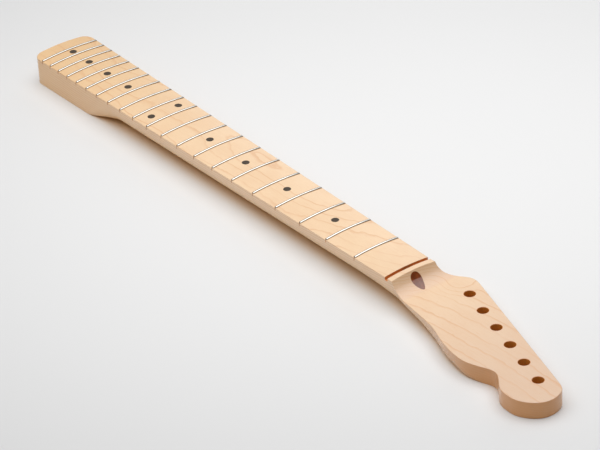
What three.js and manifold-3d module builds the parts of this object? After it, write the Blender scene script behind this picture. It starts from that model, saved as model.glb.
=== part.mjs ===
// Bolt-on electric guitar neck, sawn and carved from one piece of maple, with 21 frets, black dots,
// an empty nut slot, six tuner holes in line, and a steel rod let in from the back. A walnut strip
// closes the rod's groove, and a walnut plug closes the bore behind the nut.
// Millimetres. The nut slot's front wall is at x = 0 in the neck's own group, +X runs to the tip of
// the head, +Y to the low-string side and +Z up. The outer frame has its origin under the heel.

import * as THREE from 'three';
import { mergeVertices } from 'three/addons/utils/BufferGeometryUtils.js';
import Module from 'manifold-3d';

const wasm = await Module();
wasm.setup();
const { lerp, mapLinear, clamp, smoothstep, degToRad } = THREE.MathUtils;

// Fingerboard: string length, frets, widths, arched top and the thickness of the blank.
const scaleLength = 647.7;
const fretCount = 21;
const fretsPerOctave = 12;
const boardOverhang = 14.4;
const nutWidth = 42;
const lastFretWidth = 56.2;
const nutBoardRadius = 184;
const lastFretBoardRadius = 241;
const blankThickness = 25.4;
const boardEdgeRound = 0.5;

// Carved back: |y/a|^n + |z/b|^n = 1 below the board's edge. The section's roundness is 1/n: a half
// is an ellipse and zero is square. The carve passes a little under the flats, so they come out flat.
const firstFretThickness = 21;
const twelfthFretThickness = 23;
const neckRoundnessShare = 0.4255;
const flatCut = 0.4;

// Heel block, measured from the curved end of the neck.
const heelSeatInset = 38.1;
const heelFlatLength = 74;
const heelRampLength = 49;
const heelEndRadius = 380;
const heelCornerRadius = 8.5;
const heelRoundnessShare = 0.005;

// Nut slot, the shelf behind it and the cove down to the face of the head.
const nutSlotWidth = 3.18;
const nutSlotDepth = 3.6;
const shelfLength = 7.6;
const coveRadius = 19.05;
const headThickness = 14;
const headEdgeRound = 1.5;
const carveEndFromNut = 17;
const carveEndLength = 60;
const squaringFromNut = 30;
const tunerSideSquaringShare = 0.36;
const headRoundnessShares = [
  [0, 0.389], [0.12, 0.375], [0.24, 0.287], [0.36, 0.172], [0.48, 0.17], [0.6, 0.145], [0.75, 0.025],
];

// Tuner holes, in a line that slopes down to the tip, with a straight edge beside them.
const tunerCount = 6;
const tunerPitch = 24.6;
const tunerHoleDiameter = 8.7;
const tunerSlope = degToRad(16.85);
const firstTunerX = 47.4;
const firstTunerY = 21.85;
const tunerEdgeInset = 12.6;
const tunerEdgeLead = 10;
const tunerEdgeTail = 5.4;

// Outline of the head. The neck's taper runs on a little behind the nut on both sides. Each row is a
// point with the outline's heading there in degrees, going round from the low-string side.
const taperPastNut = 4.5;
const ballRadius = 21.6;
const ballPastLastTuner = 2.2;
const ballBelowLastTuner = 7.8;
const shoulderShares = [[0.324, 0.275, 40], [0.541, 0.716, 41], [0.824, 1.057, 0]];
const ballShares = [
  [0.926, 0.468, -65], [1.037, 0.005, -90], [0.824, -0.5625, -130], [0.435, -0.87, -152],
  [-0.051, -0.981, -180], [-0.5185, -0.921, -200], [-0.833, -0.727, -219],
];
const waistShares = [
  [0.855, 0.757, -212], [0.8165, 0.703, -180], [0.766, 0.757, -156.5], [0.711, 0.843, -161],
  [0.6426, 0.89, -180], [0.55, 0.848, -191], [0.454, 0.741, -201.5], [0.347, 0.612, -190.5],
  [0.2427, 0.551, -186.5],
];

// Fret wire, pressed into slots that follow the board's arch.
const crownWidth = 2.2;
const crownHeight = 1;
const tangWidth = 0.5;
const tangDepth = 1.6;
const fretSlotDepth = 2.4;
const fretEndInset = 0.3;
const fretEndBevel = degToRad(30);

// Position dots in the face and in the low-string edge.
const dottedFrets = [3, 5, 7, 9, 12, 15, 17, 19, 21];
const dotDiameter = 6.35;
const dotDepth = 2;
const octaveDotSpread = 27.2;
const sideDotDiameter = 2;
const sideDotDepth = 2.5;
const sideDotDrop = 2.8;
const octaveSideDotSpread = 7;

// Rod, its anchor behind the nut and its nut at the heel. Depths are below the crown of the board.
const rodDiameter = 4.8;
const rodHeadDepth = 6.2;
const rodLowDepth = 16.4;
const rodHeelDepth = 10.9;
const rodLowPlace = 230;
const rodStraightBehindNut = 16;
const plugDiameter = 9.525;
const anchorBehindNut = 10;
const anchorLength = 6;
const washerThickness = 1.2;
const rodNutLength = 12.7;
const rodNutDiameter = 8;
const rodNutRecess = 0.8;
const rodNutThread = 9;
const rodNutSlotWidth = 1.6;
const rodNutSlotDepth = 2.5;

// Walnut strip along the middle of the back.
const stripWidth = 6.35;
const stripFromHeelEnd = 66;
const stripFromNut = 18;

// Fits: glued or pressed pieces, seats, turned pieces and the overrun of every cut.
const gluedGap = 0.05;
const seatGap = 0.1;
const runningGap = 0.3;
const threadGap = 0.15;
const overrun = 2;

// Counts of facets.
const boardSteps = 6;
const roundSteps = 3;
const backSteps = 8;
const curveSteps = 16;
const roundSides = 24;
const dotSides = 16;
const sideDotSides = 8;

// Places along the neck, from the nut slot's front wall.
const fretX = (fret) => -scaleLength * (1 - 2 ** (-fret / fretsPerOctave));
const lastFretX = fretX(fretCount);
const heelEndX = lastFretX - boardOverhang;
const heelFlatX = heelEndX + heelFlatLength;
const heelRampX = heelFlatX + heelRampLength;
const heelFanX = heelEndX + lastFretWidth / 2;
const coveLength = Math.sqrt(coveRadius ** 2 - (coveRadius - blankThickness + headThickness) ** 2);
const coveEndX = shelfLength + coveLength;
const carveEndX = carveEndLength - carveEndFromNut;
const nutX = -heelEndX - heelSeatInset;

const tunerAlong = new THREE.Vector2(Math.cos(tunerSlope), -Math.sin(tunerSlope));
const tunerOut = new THREE.Vector2(Math.sin(tunerSlope), Math.cos(tunerSlope));
const firstTuner = new THREE.Vector2(firstTunerX, firstTunerY);
const onTunerLine = (along, out = 0) => firstTuner.clone()
  .addScaledVector(tunerAlong, along)
  .addScaledVector(tunerOut, out);
const tuners = Array.from({ length: tunerCount }, (_, index) => onTunerLine(index * tunerPitch));
const lastTuner = tuners[tunerCount - 1];
const edgeStart = onTunerLine(-tunerEdgeLead, tunerEdgeInset);
const edgeEnd = onTunerLine((tunerCount - 1) * tunerPitch + tunerEdgeTail, tunerEdgeInset);
const ballCentre = new THREE.Vector2(lastTuner.x + ballPastLastTuner, lastTuner.y - ballBelowLastTuner);

// Straight lines through rows of a place and a value, held at the first and the last value.
function between(rows, x) {
  const after = rows.findIndex(([place]) => place >= x);
  if (after < 1) {
    return rows.at(after)[1];
  }
  const [[start, first], [end, last]] = [rows[after - 1], rows[after]];
  return mapLinear(x, start, end, first, last);
}

// Half width of the tapering neck, radius of its arch, and the height of the board's surface.
const shaftHalfWidth = (x) => mapLinear(x, 0, lastFretX, nutWidth, lastFretWidth) / 2;
const boardRadius = (x) => mapLinear(x, 0, lastFretX, nutBoardRadius, lastFretBoardRadius);

function boardHeight(x, y) {
  const radius = boardRadius(Math.min(x, 0));
  return blankThickness - radius + Math.sqrt(radius ** 2 - y ** 2);
}

// Height of the top anywhere: the arched board, the cove cut into it, and the flat face of the head.
function topHeight(x, y) {
  if (x >= coveEndX) {
    return headThickness;
  }
  const reach = clamp(coveEndX - x, 0, coveRadius);
  const coveHeight = headThickness + coveRadius - Math.sqrt(coveRadius ** 2 - reach ** 2);
  return x < shelfLength ? boardHeight(x, y) : Math.min(boardHeight(x, y), coveHeight);
}

// The carve along the neck: the lowest height of its section, and the section's roundness. Both run
// from the heel's square block into the rounded back and out again into the flat back of the head.
const heelShare = (x) => 1 - smoothstep(x, heelFlatX, heelRampX);

function backHeight(x) {
  const along = clamp(mapLinear(x, fretX(fretsPerOctave), fretX(1), 0, 1), 0, 1);
  const carved = blankThickness - lerp(twelfthFretThickness, firstFretThickness, along);
  const flatShare = Math.max(heelShare(x), smoothstep(x, -carveEndFromNut, carveEndX));
  return lerp(carved, -flatCut, flatShare);
}

// The tuner side comes out flat sooner, so that all the tuners have a flat seat on the back.
function sectionRoundness(x, tunerSide) {
  const length = ballCentre.x * (tunerSide ? tunerSideSquaringShare : 1);
  const rows = headRoundnessShares.map(([along, roundness]) => [along * length, roundness]);
  const nearHead = between([[-squaringFromNut, neckRoundnessShare], ...rows], x);
  return lerp(nearHead, heelRoundnessShare, heelShare(x));
}

const edgeRound = (x) => lerp(boardEdgeRound, headEdgeRound, smoothstep(x, shelfLength, coveEndX));

// A chain of cubic curves through points with headings. The handles are those of a circular arc.
function outlineThrough(nodes) {
  const path = new THREE.CurvePath();
  for (let index = 1; index < nodes.length; index++) {
    const [start, startHeading] = nodes[index - 1];
    const [end, endHeading] = nodes[index];
    const turn = degToRad(endHeading - startHeading);
    const handle = start.distanceTo(end) / (3 * Math.cos(turn / 4) ** 2);
    const leave = new THREE.Vector2(handle, 0).rotateAround(new THREE.Vector2(), degToRad(startHeading));
    const arrive = new THREE.Vector2(handle, 0).rotateAround(new THREE.Vector2(), degToRad(endHeading));
    path.add(new THREE.CubicBezierCurve(start, start.clone().add(leave), end.clone().sub(arrive), end));
  }
  return path.getPoints(curveSteps);
}

// Outline of the head from the low-string side of the nut, round the ball, to the other side.
function headOutline() {
  const taperHeading = THREE.MathUtils.radToDeg(Math.atan((nutWidth - lastFretWidth) / 2 / -lastFretX));
  const slopeHeading = -THREE.MathUtils.radToDeg(tunerSlope);
  const taperEnd = new THREE.Vector2(taperPastNut, shaftHalfWidth(taperPastNut));
  const shoulder = shoulderShares.map(([along, across, heading]) => [
    new THREE.Vector2(lerp(taperEnd.x, edgeStart.x, along), lerp(taperEnd.y, edgeStart.y, across)),
    heading,
  ]);
  const ball = ballShares.map(([along, across, heading]) => [
    new THREE.Vector2(along, across).multiplyScalar(ballRadius).add(ballCentre),
    heading,
  ]);
  const ballBottom = ballCentre.y - ballRadius;
  const waist = waistShares.map(([along, across, heading]) => [
    new THREE.Vector2(along * ballCentre.x, across * ballBottom),
    heading,
  ]);
  return outlineThrough([
    [taperEnd, taperHeading],
    ...shoulder,
    [edgeStart, slopeHeading],
    [edgeEnd, slopeHeading],
    ...ball,
    ...waist,
    [new THREE.Vector2(taperEnd.x, -taperEnd.y), -180 - taperHeading],
  ]);
}

const outline = headOutline();
const tipIndex = outline.reduce((best, point, index) => (point.x > outline[best].x ? index : best), 0);
const bassOutline = outline.slice(0, tipIndex + 1).map((point) => point.toArray());
const trebleOutline = outline.slice(tipIndex).map((point) => point.toArray()).reverse();

// Place of the edge across the neck at x, on one side.
const bassEdge = (x) => (x > taperPastNut ? between(bassOutline, x) : shaftHalfWidth(x));
const trebleEdge = (x) => (x > taperPastNut ? between(trebleOutline, x) : -shaftHalfWidth(x));

// Point of the outline on the ray that leaves the ball's centre at this angle.
const ballArms = outline
  .filter((point) => point.x >= ballCentre.x)
  .map((point) => point.clone().sub(ballCentre))
  .map((arm) => [Math.atan2(arm.y, arm.x), arm.length()])
  .reverse();

function ballEdge(angle) {
  const arm = new THREE.Vector2(between(ballArms, angle), 0).rotateAround(new THREE.Vector2(), angle);
  return arm.add(ballCentre);
}

// One half of a section: from the middle of the top out to the rounded edge, then down the carve to
// the middle of the back. A bow above 1 bends the section's line in plan.
function halfSection(spine, edge, bow = 1) {
  const reach = spine.distanceTo(edge);
  const round = edgeRound(edge.x);
  const place = (distance, height) => {
    const share = distance / reach;
    const x = lerp(spine.x, edge.x, share ** bow);
    const y = lerp(spine.y, edge.y, share);
    return new THREE.Vector3(x, y, height ?? topHeight(x, y));
  };

  const points = [];
  for (let step = 0; step <= boardSteps / 2; step++) {
    points.push(place((reach - round) * step / (boardSteps / 2)));
  }
  const shoulder = points.at(-1).z;
  for (let step = 1; step <= roundSteps; step++) {
    const angle = step / roundSteps * Math.PI / 2;
    points.push(place(reach - round + round * Math.sin(angle), shoulder - round + round * Math.cos(angle)));
  }

  const power = 1 / sectionRoundness(spine.x, edge.y > spine.y);
  const top = boardHeight(Math.min(spine.x, 0), shaftHalfWidth(Math.min(spine.x, 0)));
  const depth = top - backHeight(spine.x);
  const startShare = Math.max(0, top - shoulder + round) / depth;
  const reachShare = (1 - startShare ** power) ** (1 / power);
  const width = reach / reachShare;
  const startAngle = Math.atan(width / depth * (startShare / reachShare) ** (power - 1));
  const dual = power / (power - 1);
  for (let step = 1; step < backSteps; step++) {
    const angle = lerp(startAngle, Math.PI / 2, step / backSteps);
    const acrossPart = width * Math.cos(angle);
    const downPart = depth * Math.sin(angle);
    const support = (acrossPart ** dual + downPart ** dual) ** (1 / dual);
    const across = width * (acrossPart / support) ** (dual - 1);
    const down = depth * (downPart / support) ** (dual - 1);
    points.push(place(across, Math.max(0, top - down)));
  }
  points.push(place(0, Math.max(0, top - depth)));
  return points;
}

// Values from the first, in even steps, up to but without the last.
const steps = (from, to, count) => Array.from(
  { length: count },
  (_, index) => lerp(from, to, index / count),
);

function spineStations() {
  const straight = [
    ...steps(heelFanX, heelFlatX, 2),
    ...steps(heelFlatX, heelRampX, 12),
    ...steps(heelRampX, fretX(fretsPerOctave), 2),
    ...steps(fretX(fretsPerOctave), fretX(1), 5),
    ...steps(fretX(1), -carveEndFromNut, 1),
    ...steps(-carveEndFromNut, taperPastNut, 5),
    taperPastNut,
    ...steps(shelfLength + headEdgeRound, coveEndX, 6),
    ...steps(coveEndX, edgeStart.x, 6),
    ...steps(edgeStart.x, ballCentre.x, 28),
    ballCentre.x,
  ].map((x) => ({ x, edgeX: x, bow: 1 }));

  // The shelf ends where the cove meets the arched board, further back toward the edges.
  const edgeHeight = boardHeight(0, shaftHalfWidth(shelfLength)) - headThickness;
  const creaseX = coveEndX - Math.sqrt(coveRadius ** 2 - (coveRadius - edgeHeight) ** 2);
  const crease = { x: shelfLength, edgeX: creaseX, bow: 2 };
  return [...straight, crease].sort((first, second) => first.x - second.x);
}

// The middle line swings from the neck's axis to the centre of the ball along the head.
const spineAcross = (x) => ballCentre.y * smoothstep(x, edgeStart.x, ballCentre.x);

// Plan of the heel's end: a wide arc with a small round at each corner, from the high-string side.
function heelEndPoints() {
  const endCentre = new THREE.Vector2(heelEndX + heelEndRadius, 0);
  const cornerY = shaftHalfWidth(heelEndX + heelCornerRadius) - heelCornerRadius;
  const cornerX = endCentre.x - Math.sqrt((heelEndRadius - heelCornerRadius) ** 2 - cornerY ** 2);
  const meeting = Math.atan2(cornerY, cornerX - endCentre.x);
  const arc = (centre, radius, angles) => angles.map((angle) => new THREE.Vector2(
    centre.x + radius * Math.cos(angle),
    centre.y + radius * Math.sin(angle),
  ));
  const cornerAngles = [...steps(meeting, Math.PI / 2, 4), Math.PI / 2];
  const corner = arc(new THREE.Vector2(cornerX, cornerY), heelCornerRadius, cornerAngles);
  const end = arc(endCentre, heelEndRadius, steps(2 * Math.PI - meeting, meeting, 6).slice(1));
  const mirrored = corner.map((point) => new THREE.Vector2(point.x, -point.y)).reverse();
  return [...mirrored, ...end, ...corner];
}

// The whole blank is one loft of half sections. They go along the low-string side, fan out round the
// ball, come back along the other side, and fan out again round the heel's end.
function blankGeometry() {
  const stations = spineStations();
  const half = (edgeAt) => ({ x, edgeX, bow }) => halfSection(
    new THREE.Vector2(x, spineAcross(x)),
    new THREE.Vector2(edgeX, edgeAt(edgeX)),
    bow,
  );
  const ballAngles = steps(Math.PI / 2, -Math.PI / 2, 15).slice(1);
  const heelFan = new THREE.Vector2(heelFanX, 0);
  const sections = [
    ...stations.map(half(bassEdge)),
    ...ballAngles.map((angle) => halfSection(ballCentre, ballEdge(angle))),
    ...stations.map(half(trebleEdge)).reverse(),
    ...heelEndPoints().map((point) => halfSection(heelFan, point)),
  ];
  const rows = sections[0].length;
  const corner = (section, row) => (section % sections.length) * rows + row;
  const faces = [];
  for (let section = 0; section < sections.length; section++) {
    for (let row = 0; row + 1 < rows; row++) {
      const [near, far] = [corner(section, row), corner(section + 1, row)];
      faces.push(near, far, far + 1, near, far + 1, near + 1);
    }
  }
  const geometry = new THREE.BufferGeometry().setFromPoints(sections.flat());
  geometry.setIndex(faces);
  return geometry;
}

// Turn a closed geometry into a solid that can be joined and cut, and back.
function solid(geometry) {
  geometry.deleteAttribute('normal');
  geometry.deleteAttribute('uv');
  const merged = mergeVertices(geometry);
  const corners = merged.index.array;
  const faces = [];
  for (let start = 0; start < corners.length; start += 3) {
    const [first, second, third] = corners.slice(start, start + 3);
    if (first !== second && second !== third && third !== first) {
      faces.push(first, second, third);
    }
  }
  return new wasm.Manifold(new wasm.Mesh({
    numProp: 3,
    vertProperties: merged.attributes.position.array,
    triVerts: new Uint32Array(faces),
  }));
}

function geometryOf(manifold) {
  const { vertProperties, triVerts } = manifold.getMesh();
  const geometry = new THREE.BufferGeometry();
  geometry.setAttribute('position', new THREE.BufferAttribute(vertProperties, 3));
  geometry.setIndex(new THREE.BufferAttribute(triVerts, 1));
  geometry.computeVertexNormals();
  return geometry;
}

// Round bars along each axis, between two places on that axis.
const barAlongZ = (radius, x, y, from, to, sides) => new THREE.CylinderGeometry(
  radius, radius, to - from, sides,
).rotateX(Math.PI / 2).translate(x, y, (from + to) / 2);

const barAlongX = (radius, height, from, to) => new THREE.CylinderGeometry(
  radius, radius, to - from, roundSides,
).rotateZ(Math.PI / 2).translate((from + to) / 2, 0, height);

const barAlongY = (radius, x, height, from, to, sides) => new THREE.CylinderGeometry(
  radius, radius, to - from, sides,
).translate(x, (from + to) / 2, height);

// Bend a straight bar that lies along Y on z = 0 over an arch of this radius about the X axis.
function bendOverArch(geometry, radius) {
  const position = geometry.attributes.position;
  for (let index = 0; index < position.count; index++) {
    const angle = position.getY(index) / radius;
    const arm = radius + position.getZ(index);
    position.setY(index, arm * Math.sin(angle));
    position.setZ(index, arm * Math.cos(angle));
  }
  return geometry;
}

// Frets: a half-round crown over a thin tang. Both ends of the crown are filed back at a slant.
function fretGeometry(fret) {
  const halfLength = shaftHalfWidth(fretX(fret)) - fretEndInset;
  const profile = new THREE.Shape();
  profile.absellipse(0, seatGap, crownWidth / 2, crownHeight - seatGap, Math.PI, 0, true);
  profile.lineTo(tangWidth / 2, seatGap);
  profile.lineTo(tangWidth / 2, -tangDepth);
  profile.lineTo(-tangWidth / 2, -tangDepth);
  profile.lineTo(-tangWidth / 2, seatGap);
  const wire = new THREE.ExtrudeGeometry(profile, {
    depth: 2 * halfLength,
    steps: boardSteps,
    curveSegments: 2,
    bevelEnabled: false,
  });
  wire.rotateX(Math.PI / 2).translate(0, halfLength, 0);
  const position = wire.attributes.position;
  for (let index = 0; index < position.count; index++) {
    const lean = Math.max(0, position.getZ(index)) * Math.tan(fretEndBevel);
    position.setY(index, position.getY(index) * (halfLength - lean) / halfLength);
  }
  return bendOverArch(wire, boardRadius(fretX(fret)));
}

// Slot for a fret's tang, right across the board at an even depth under its arch.
function fretSlot(fret) {
  const radius = boardRadius(fretX(fret));
  const size = [tangWidth + 2 * gluedGap, 2 * (shaftHalfWidth(fretX(fret)) + overrun), fretSlotDepth + overrun];
  const slot = new THREE.BoxGeometry(...size, 1, boardSteps, 1);
  slot.translate(0, 0, (overrun - fretSlotDepth) / 2);
  return bendOverArch(slot, radius).translate(fretX(fret), 0, blankThickness - radius);
}

const nutSlot = () => new THREE.BoxGeometry(nutSlotWidth, nutWidth + 2 * overrun, nutSlotDepth + overrun)
  .translate(nutSlotWidth / 2, 0, blankThickness + (overrun - nutSlotDepth) / 2);

// Dots: round pegs let in flush, halfway between frets. The octave has two, in the face and the side.
const dotNumber = (fret) => String(fret).padStart(2, '0');
const dotX = (fret) => (fretX(fret) + fretX(fret - 1)) / 2;
const isOctave = (fret) => fret % fretsPerOctave === 0;

const faceDots = dottedFrets.flatMap((fret) => {
  const across = isOctave(fret) ? [octaveDotSpread / 2, -octaveDotSpread / 2] : [0];
  return across.map((y, index) => {
    const x = dotX(fret);
    const floor = topHeight(x, y) - dotDepth;
    return {
      name: `dot_${dotNumber(fret)}${across.length > 1 ? ['_low_side', '_high_side'][index] : ''}`,
      bar: (gap) => barAlongZ(dotDiameter / 2 - gap, x, y, floor + gap, blankThickness + overrun, dotSides),
    };
  });
});

const sideDots = dottedFrets.flatMap((fret) => {
  const along = isOctave(fret) ? [-octaveSideDotSpread / 2, octaveSideDotSpread / 2] : [0];
  return along.map((shift, index) => {
    const x = dotX(fret) + shift;
    const edge = shaftHalfWidth(x);
    const height = boardHeight(x, edge) - sideDotDrop;
    const floor = edge - sideDotDepth;
    return {
      name: `side_dot_${dotNumber(fret)}${along.length > 1 ? ['_heel_side', '_nut_side'][index] : ''}`,
      bar: (gap) => barAlongY(sideDotDiameter / 2 - gap, x, height, floor + gap, edge + overrun, sideDotSides),
    };
  });
});

// The rod's line: straight at both ends, with a smooth sag toward the back between them.
const rodHeadHeight = blankThickness - rodHeadDepth;
const rodLowHeight = blankThickness - rodLowDepth;
const rodHeelHeight = blankThickness - rodHeelDepth;
const stripHeelX = heelEndX + stripFromHeelEnd;

function rodHeight(x) {
  const towardHead = x > -rodLowPlace;
  const endX = towardHead ? -rodStraightBehindNut : stripHeelX;
  const endHeight = towardHead ? rodHeadHeight : rodHeelHeight;
  const share = clamp(mapLinear(x, -rodLowPlace, endX, 0, 1), 0, 1);
  return lerp(rodLowHeight, endHeight, (1 - Math.cos(Math.PI * share)) / 2);
}

const anchorHeadX = -anchorBehindNut;
const anchorHeelX = anchorHeadX - anchorLength;
const heelBoreX = heelEndX + rodNutRecess + rodNutLength + runningGap + washerThickness + seatGap;
const washerX = heelBoreX - seatGap;
const rodNutX = heelEndX + rodNutRecess;
const rodNutInnerX = rodNutX + rodNutLength;
const rodHeelX = rodNutInnerX - rodNutThread + runningGap;
const rodHeadX = anchorHeadX - runningGap;

class RodLine extends THREE.Curve {
  getPoint(share, target = new THREE.Vector3()) {
    const x = lerp(rodHeelX, rodHeadX, share);
    return target.set(x, 0, rodHeight(x));
  }
}

function rodGeometry() {
  const section = new THREE.Shape().absarc(0, 0, rodDiameter / 2, 0, 2 * Math.PI);
  return new THREE.ExtrudeGeometry(section, { steps: 32, curveSegments: 5, extrudePath: new RodLine() });
}

// A turned piece along X, revolved from rows of a radius and a place along the axis.
const turned = (rows) => new THREE.LatheGeometry(
  rows.map(([radius, along]) => new THREE.Vector2(radius, along)),
  roundSides,
).rotateZ(-Math.PI / 2);

const ringGeometry = (outer, inner, length) => turned(
  [[inner, 0], [outer, 0], [outer, length], [inner, length], [inner, 0]],
);

// The rod's nut: a barrel with a blind bore and a cross of two slots in its outer end.
function rodNutGeometry() {
  const outer = rodNutDiameter / 2;
  const bore = rodDiameter / 2 + threadGap;
  const boreFloor = rodNutLength - rodNutThread;
  const end = rodNutLength;
  const barrel = turned([[0, 0], [outer, 0], [outer, end], [bore, end], [bore, boreFloor], [0, boreFloor]]);
  const slotLength = rodNutDiameter + 2 * overrun;
  const slots = [0, Math.PI / 2].map((turn) => solid(
    new THREE.BoxGeometry(rodNutSlotDepth + overrun, slotLength, rodNutSlotWidth)
      .translate((rodNutSlotDepth - overrun) / 2, 0, 0)
      .rotateX(turn),
  ));
  return geometryOf(slots.reduce((body, slot) => body.subtract(slot), solid(barrel)));
}

// The rod's groove, open to the back: round ends in plan, and an inner edge that follows the rod.
// The strip has the same form with a gap all round and stops under the rod.
function grooveSolid(innerOffset, gap) {
  const endRadius = stripWidth / 2;
  const plan = new THREE.Shape();
  plan.absarc(-stripFromNut - endRadius, 0, endRadius - gap, -Math.PI / 2, Math.PI / 2);
  plan.absarc(stripHeelX + endRadius, 0, endRadius - gap, Math.PI / 2, 3 * Math.PI / 2);
  const upright = new THREE.ExtrudeGeometry(plan, {
    depth: blankThickness + overrun,
    curveSegments: 5,
    bevelEnabled: false,
  }).translate(0, 0, -overrun);

  const edge = [...steps(stripHeelX - overrun, overrun - stripFromNut, 24), overrun - stripFromNut];
  const side = new THREE.Shape(edge.map((x) => new THREE.Vector2(x, rodHeight(x) + innerOffset)));
  side.lineTo(overrun - stripFromNut, -2 * overrun);
  side.lineTo(stripHeelX - overrun, -2 * overrun);
  const across = new THREE.ExtrudeGeometry(side, { depth: 2 * stripWidth, bevelEnabled: false })
    .rotateX(Math.PI / 2)
    .translate(0, stripWidth, 0);
  return solid(upright).intersect(solid(across));
}

const blank = solid(blankGeometry());
const slottedBlank = blank.subtract(solid(nutSlot()));
const frets = Array.from({ length: fretCount }, (_, index) => index + 1);

function tunerHole({ x, y }) {
  return barAlongZ(tunerHoleDiameter / 2, x, y, -overrun, headThickness + overrun, roundSides);
}

function neckGeometry() {
  const boreRadius = plugDiameter / 2;
  const tunnelRadius = rodDiameter / 2 + runningGap;
  const cuts = [
    ...frets.map(fretSlot),
    ...[...faceDots, ...sideDots].map((dot) => dot.bar(0)),
    ...tuners.map(tunerHole),
    barAlongX(boreRadius, rodHeadHeight, anchorHeelX - seatGap, coveEndX),
    barAlongX(tunnelRadius, rodHeadHeight, -stripFromNut - stripWidth, anchorHeelX),
    barAlongX(tunnelRadius, rodHeelHeight, heelBoreX - overrun, stripHeelX + stripWidth),
    barAlongX(boreRadius, rodHeelHeight, heelEndX - overrun, heelBoreX),
  ].map(solid);
  const groove = grooveSolid(rodDiameter / 2 + runningGap, 0);
  return geometryOf([...cuts, groove].reduce((body, cut) => body.subtract(cut), slottedBlank));
}

// Finishes, one new material for each piece.
const finishes = {
  maple: { color: 0xdcb88a, roughness: 0.4, metalness: 0 },
  walnut: { color: 0x5a3118, roughness: 0.5, metalness: 0 },
  nickelSilver: { color: 0xc9c8c2, roughness: 0.25, metalness: 1 },
  blackDot: { color: 0x1c1a19, roughness: 0.45, metalness: 0 },
  steel: { color: 0x8f8f8c, roughness: 0.4, metalness: 1 },
};

function piece(name, geometry, finish) {
  const material = new THREE.MeshStandardMaterial({ ...finishes[finish], flatShading: true });
  const mesh = new THREE.Mesh(geometry, material);
  mesh.name = name;
  return mesh;
}

const neck = new THREE.Group();
neck.position.x = nutX;
neck.add(piece('neck_blank', neckGeometry(), 'maple'));

for (const fret of frets) {
  const wire = piece(`fret_${dotNumber(fret)}`, fretGeometry(fret), 'nickelSilver');
  wire.position.set(fretX(fret), 0, blankThickness - boardRadius(fretX(fret)));
  neck.add(wire);
}

for (const dot of [...faceDots, ...sideDots]) {
  neck.add(piece(dot.name, geometryOf(solid(dot.bar(gluedGap)).intersect(blank)), 'blackDot'));
}

const plug = barAlongX(plugDiameter / 2 - gluedGap, rodHeadHeight, anchorHeadX + seatGap, coveEndX);
neck.add(piece('head_plug', geometryOf(solid(plug).intersect(slottedBlank)), 'walnut'));

const strip = grooveSolid(-rodDiameter / 2 - runningGap, gluedGap).intersect(blank);
neck.add(piece('back_strip', geometryOf(strip), 'walnut'));

neck.add(piece('truss_rod', rodGeometry(), 'steel'));

const ringOuter = plugDiameter / 2 - seatGap;
const ringInner = rodDiameter / 2 + threadGap;
const anchor = piece('rod_anchor', ringGeometry(ringOuter, ringInner, anchorLength), 'steel');
anchor.position.set(anchorHeelX, 0, rodHeadHeight);
neck.add(anchor);

const washer = piece('rod_washer', ringGeometry(ringOuter, ringInner, washerThickness), 'steel');
washer.position.set(washerX - washerThickness, 0, rodHeelHeight);
neck.add(washer);

const rodNut = piece('truss_rod_nut', rodNutGeometry(), 'steel');
rodNut.position.set(rodNutX, 0, rodHeelHeight);
neck.add(rodNut);

const guitarNeck = new THREE.Group();
guitarNeck.add(neck);

export default guitarNeck;
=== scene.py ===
# %% [markdown]
# # A bolt-on electric guitar neck
#
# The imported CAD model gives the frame: where each piece is, how big it is and what moves. This
# lesson dresses it. The wood becomes one finely lofted surface with real cuts, the frets become
# drawn wire with filed ends, and every piece gets a finish made from nodes alone.

import math

import bmesh
import bpy
import numpy as np
from mathutils import Matrix, Vector


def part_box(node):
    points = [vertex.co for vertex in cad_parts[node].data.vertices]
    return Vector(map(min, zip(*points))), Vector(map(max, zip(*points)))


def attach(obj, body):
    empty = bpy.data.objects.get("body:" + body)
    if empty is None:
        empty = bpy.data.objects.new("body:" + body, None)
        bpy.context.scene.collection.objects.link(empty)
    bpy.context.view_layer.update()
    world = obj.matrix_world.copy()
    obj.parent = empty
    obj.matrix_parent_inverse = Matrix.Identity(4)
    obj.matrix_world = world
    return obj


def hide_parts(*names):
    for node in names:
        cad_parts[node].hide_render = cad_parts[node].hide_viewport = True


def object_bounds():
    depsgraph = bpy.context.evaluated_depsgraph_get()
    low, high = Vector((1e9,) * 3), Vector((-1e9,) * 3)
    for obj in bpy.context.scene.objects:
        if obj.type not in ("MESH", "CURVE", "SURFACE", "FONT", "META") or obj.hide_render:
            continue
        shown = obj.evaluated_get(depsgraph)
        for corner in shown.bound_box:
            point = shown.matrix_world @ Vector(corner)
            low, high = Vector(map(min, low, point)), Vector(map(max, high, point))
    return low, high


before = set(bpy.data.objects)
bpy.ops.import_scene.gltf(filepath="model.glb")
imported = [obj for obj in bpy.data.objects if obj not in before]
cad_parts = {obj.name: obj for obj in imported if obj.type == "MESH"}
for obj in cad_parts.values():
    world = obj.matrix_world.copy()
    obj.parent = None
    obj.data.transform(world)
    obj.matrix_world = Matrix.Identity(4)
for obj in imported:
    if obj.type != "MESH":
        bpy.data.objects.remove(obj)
cad_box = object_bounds()

# %% [markdown]
# ## The neck's own ruler
#
# A guitar maker measures a neck from the nut, so x = 0 is the front wall of the nut slot. Lengths
# are in millimetres until a mesh is made. The frets follow the string length: each one shortens
# the string by the twelfth root of two.

# %% Sizes of the neck
mm = 0.001
scale_length = 647.7
fret_count = 21
board_overhang = 14.4
nut_width = 42.0
last_fret_width = 56.2
nut_board_radius = 184.0
last_fret_board_radius = 241.0
blank_thickness = 25.4
board_edge_round = 0.5

first_fret_thickness = 21.0
twelfth_fret_thickness = 23.0
neck_roundness = 0.4255
flat_cut = 0.4

heel_flat_length = 74.0
heel_ramp_length = 49.0
heel_end_radius = 380.0
heel_corner_radius = 8.5
heel_roundness = 0.005

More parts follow.
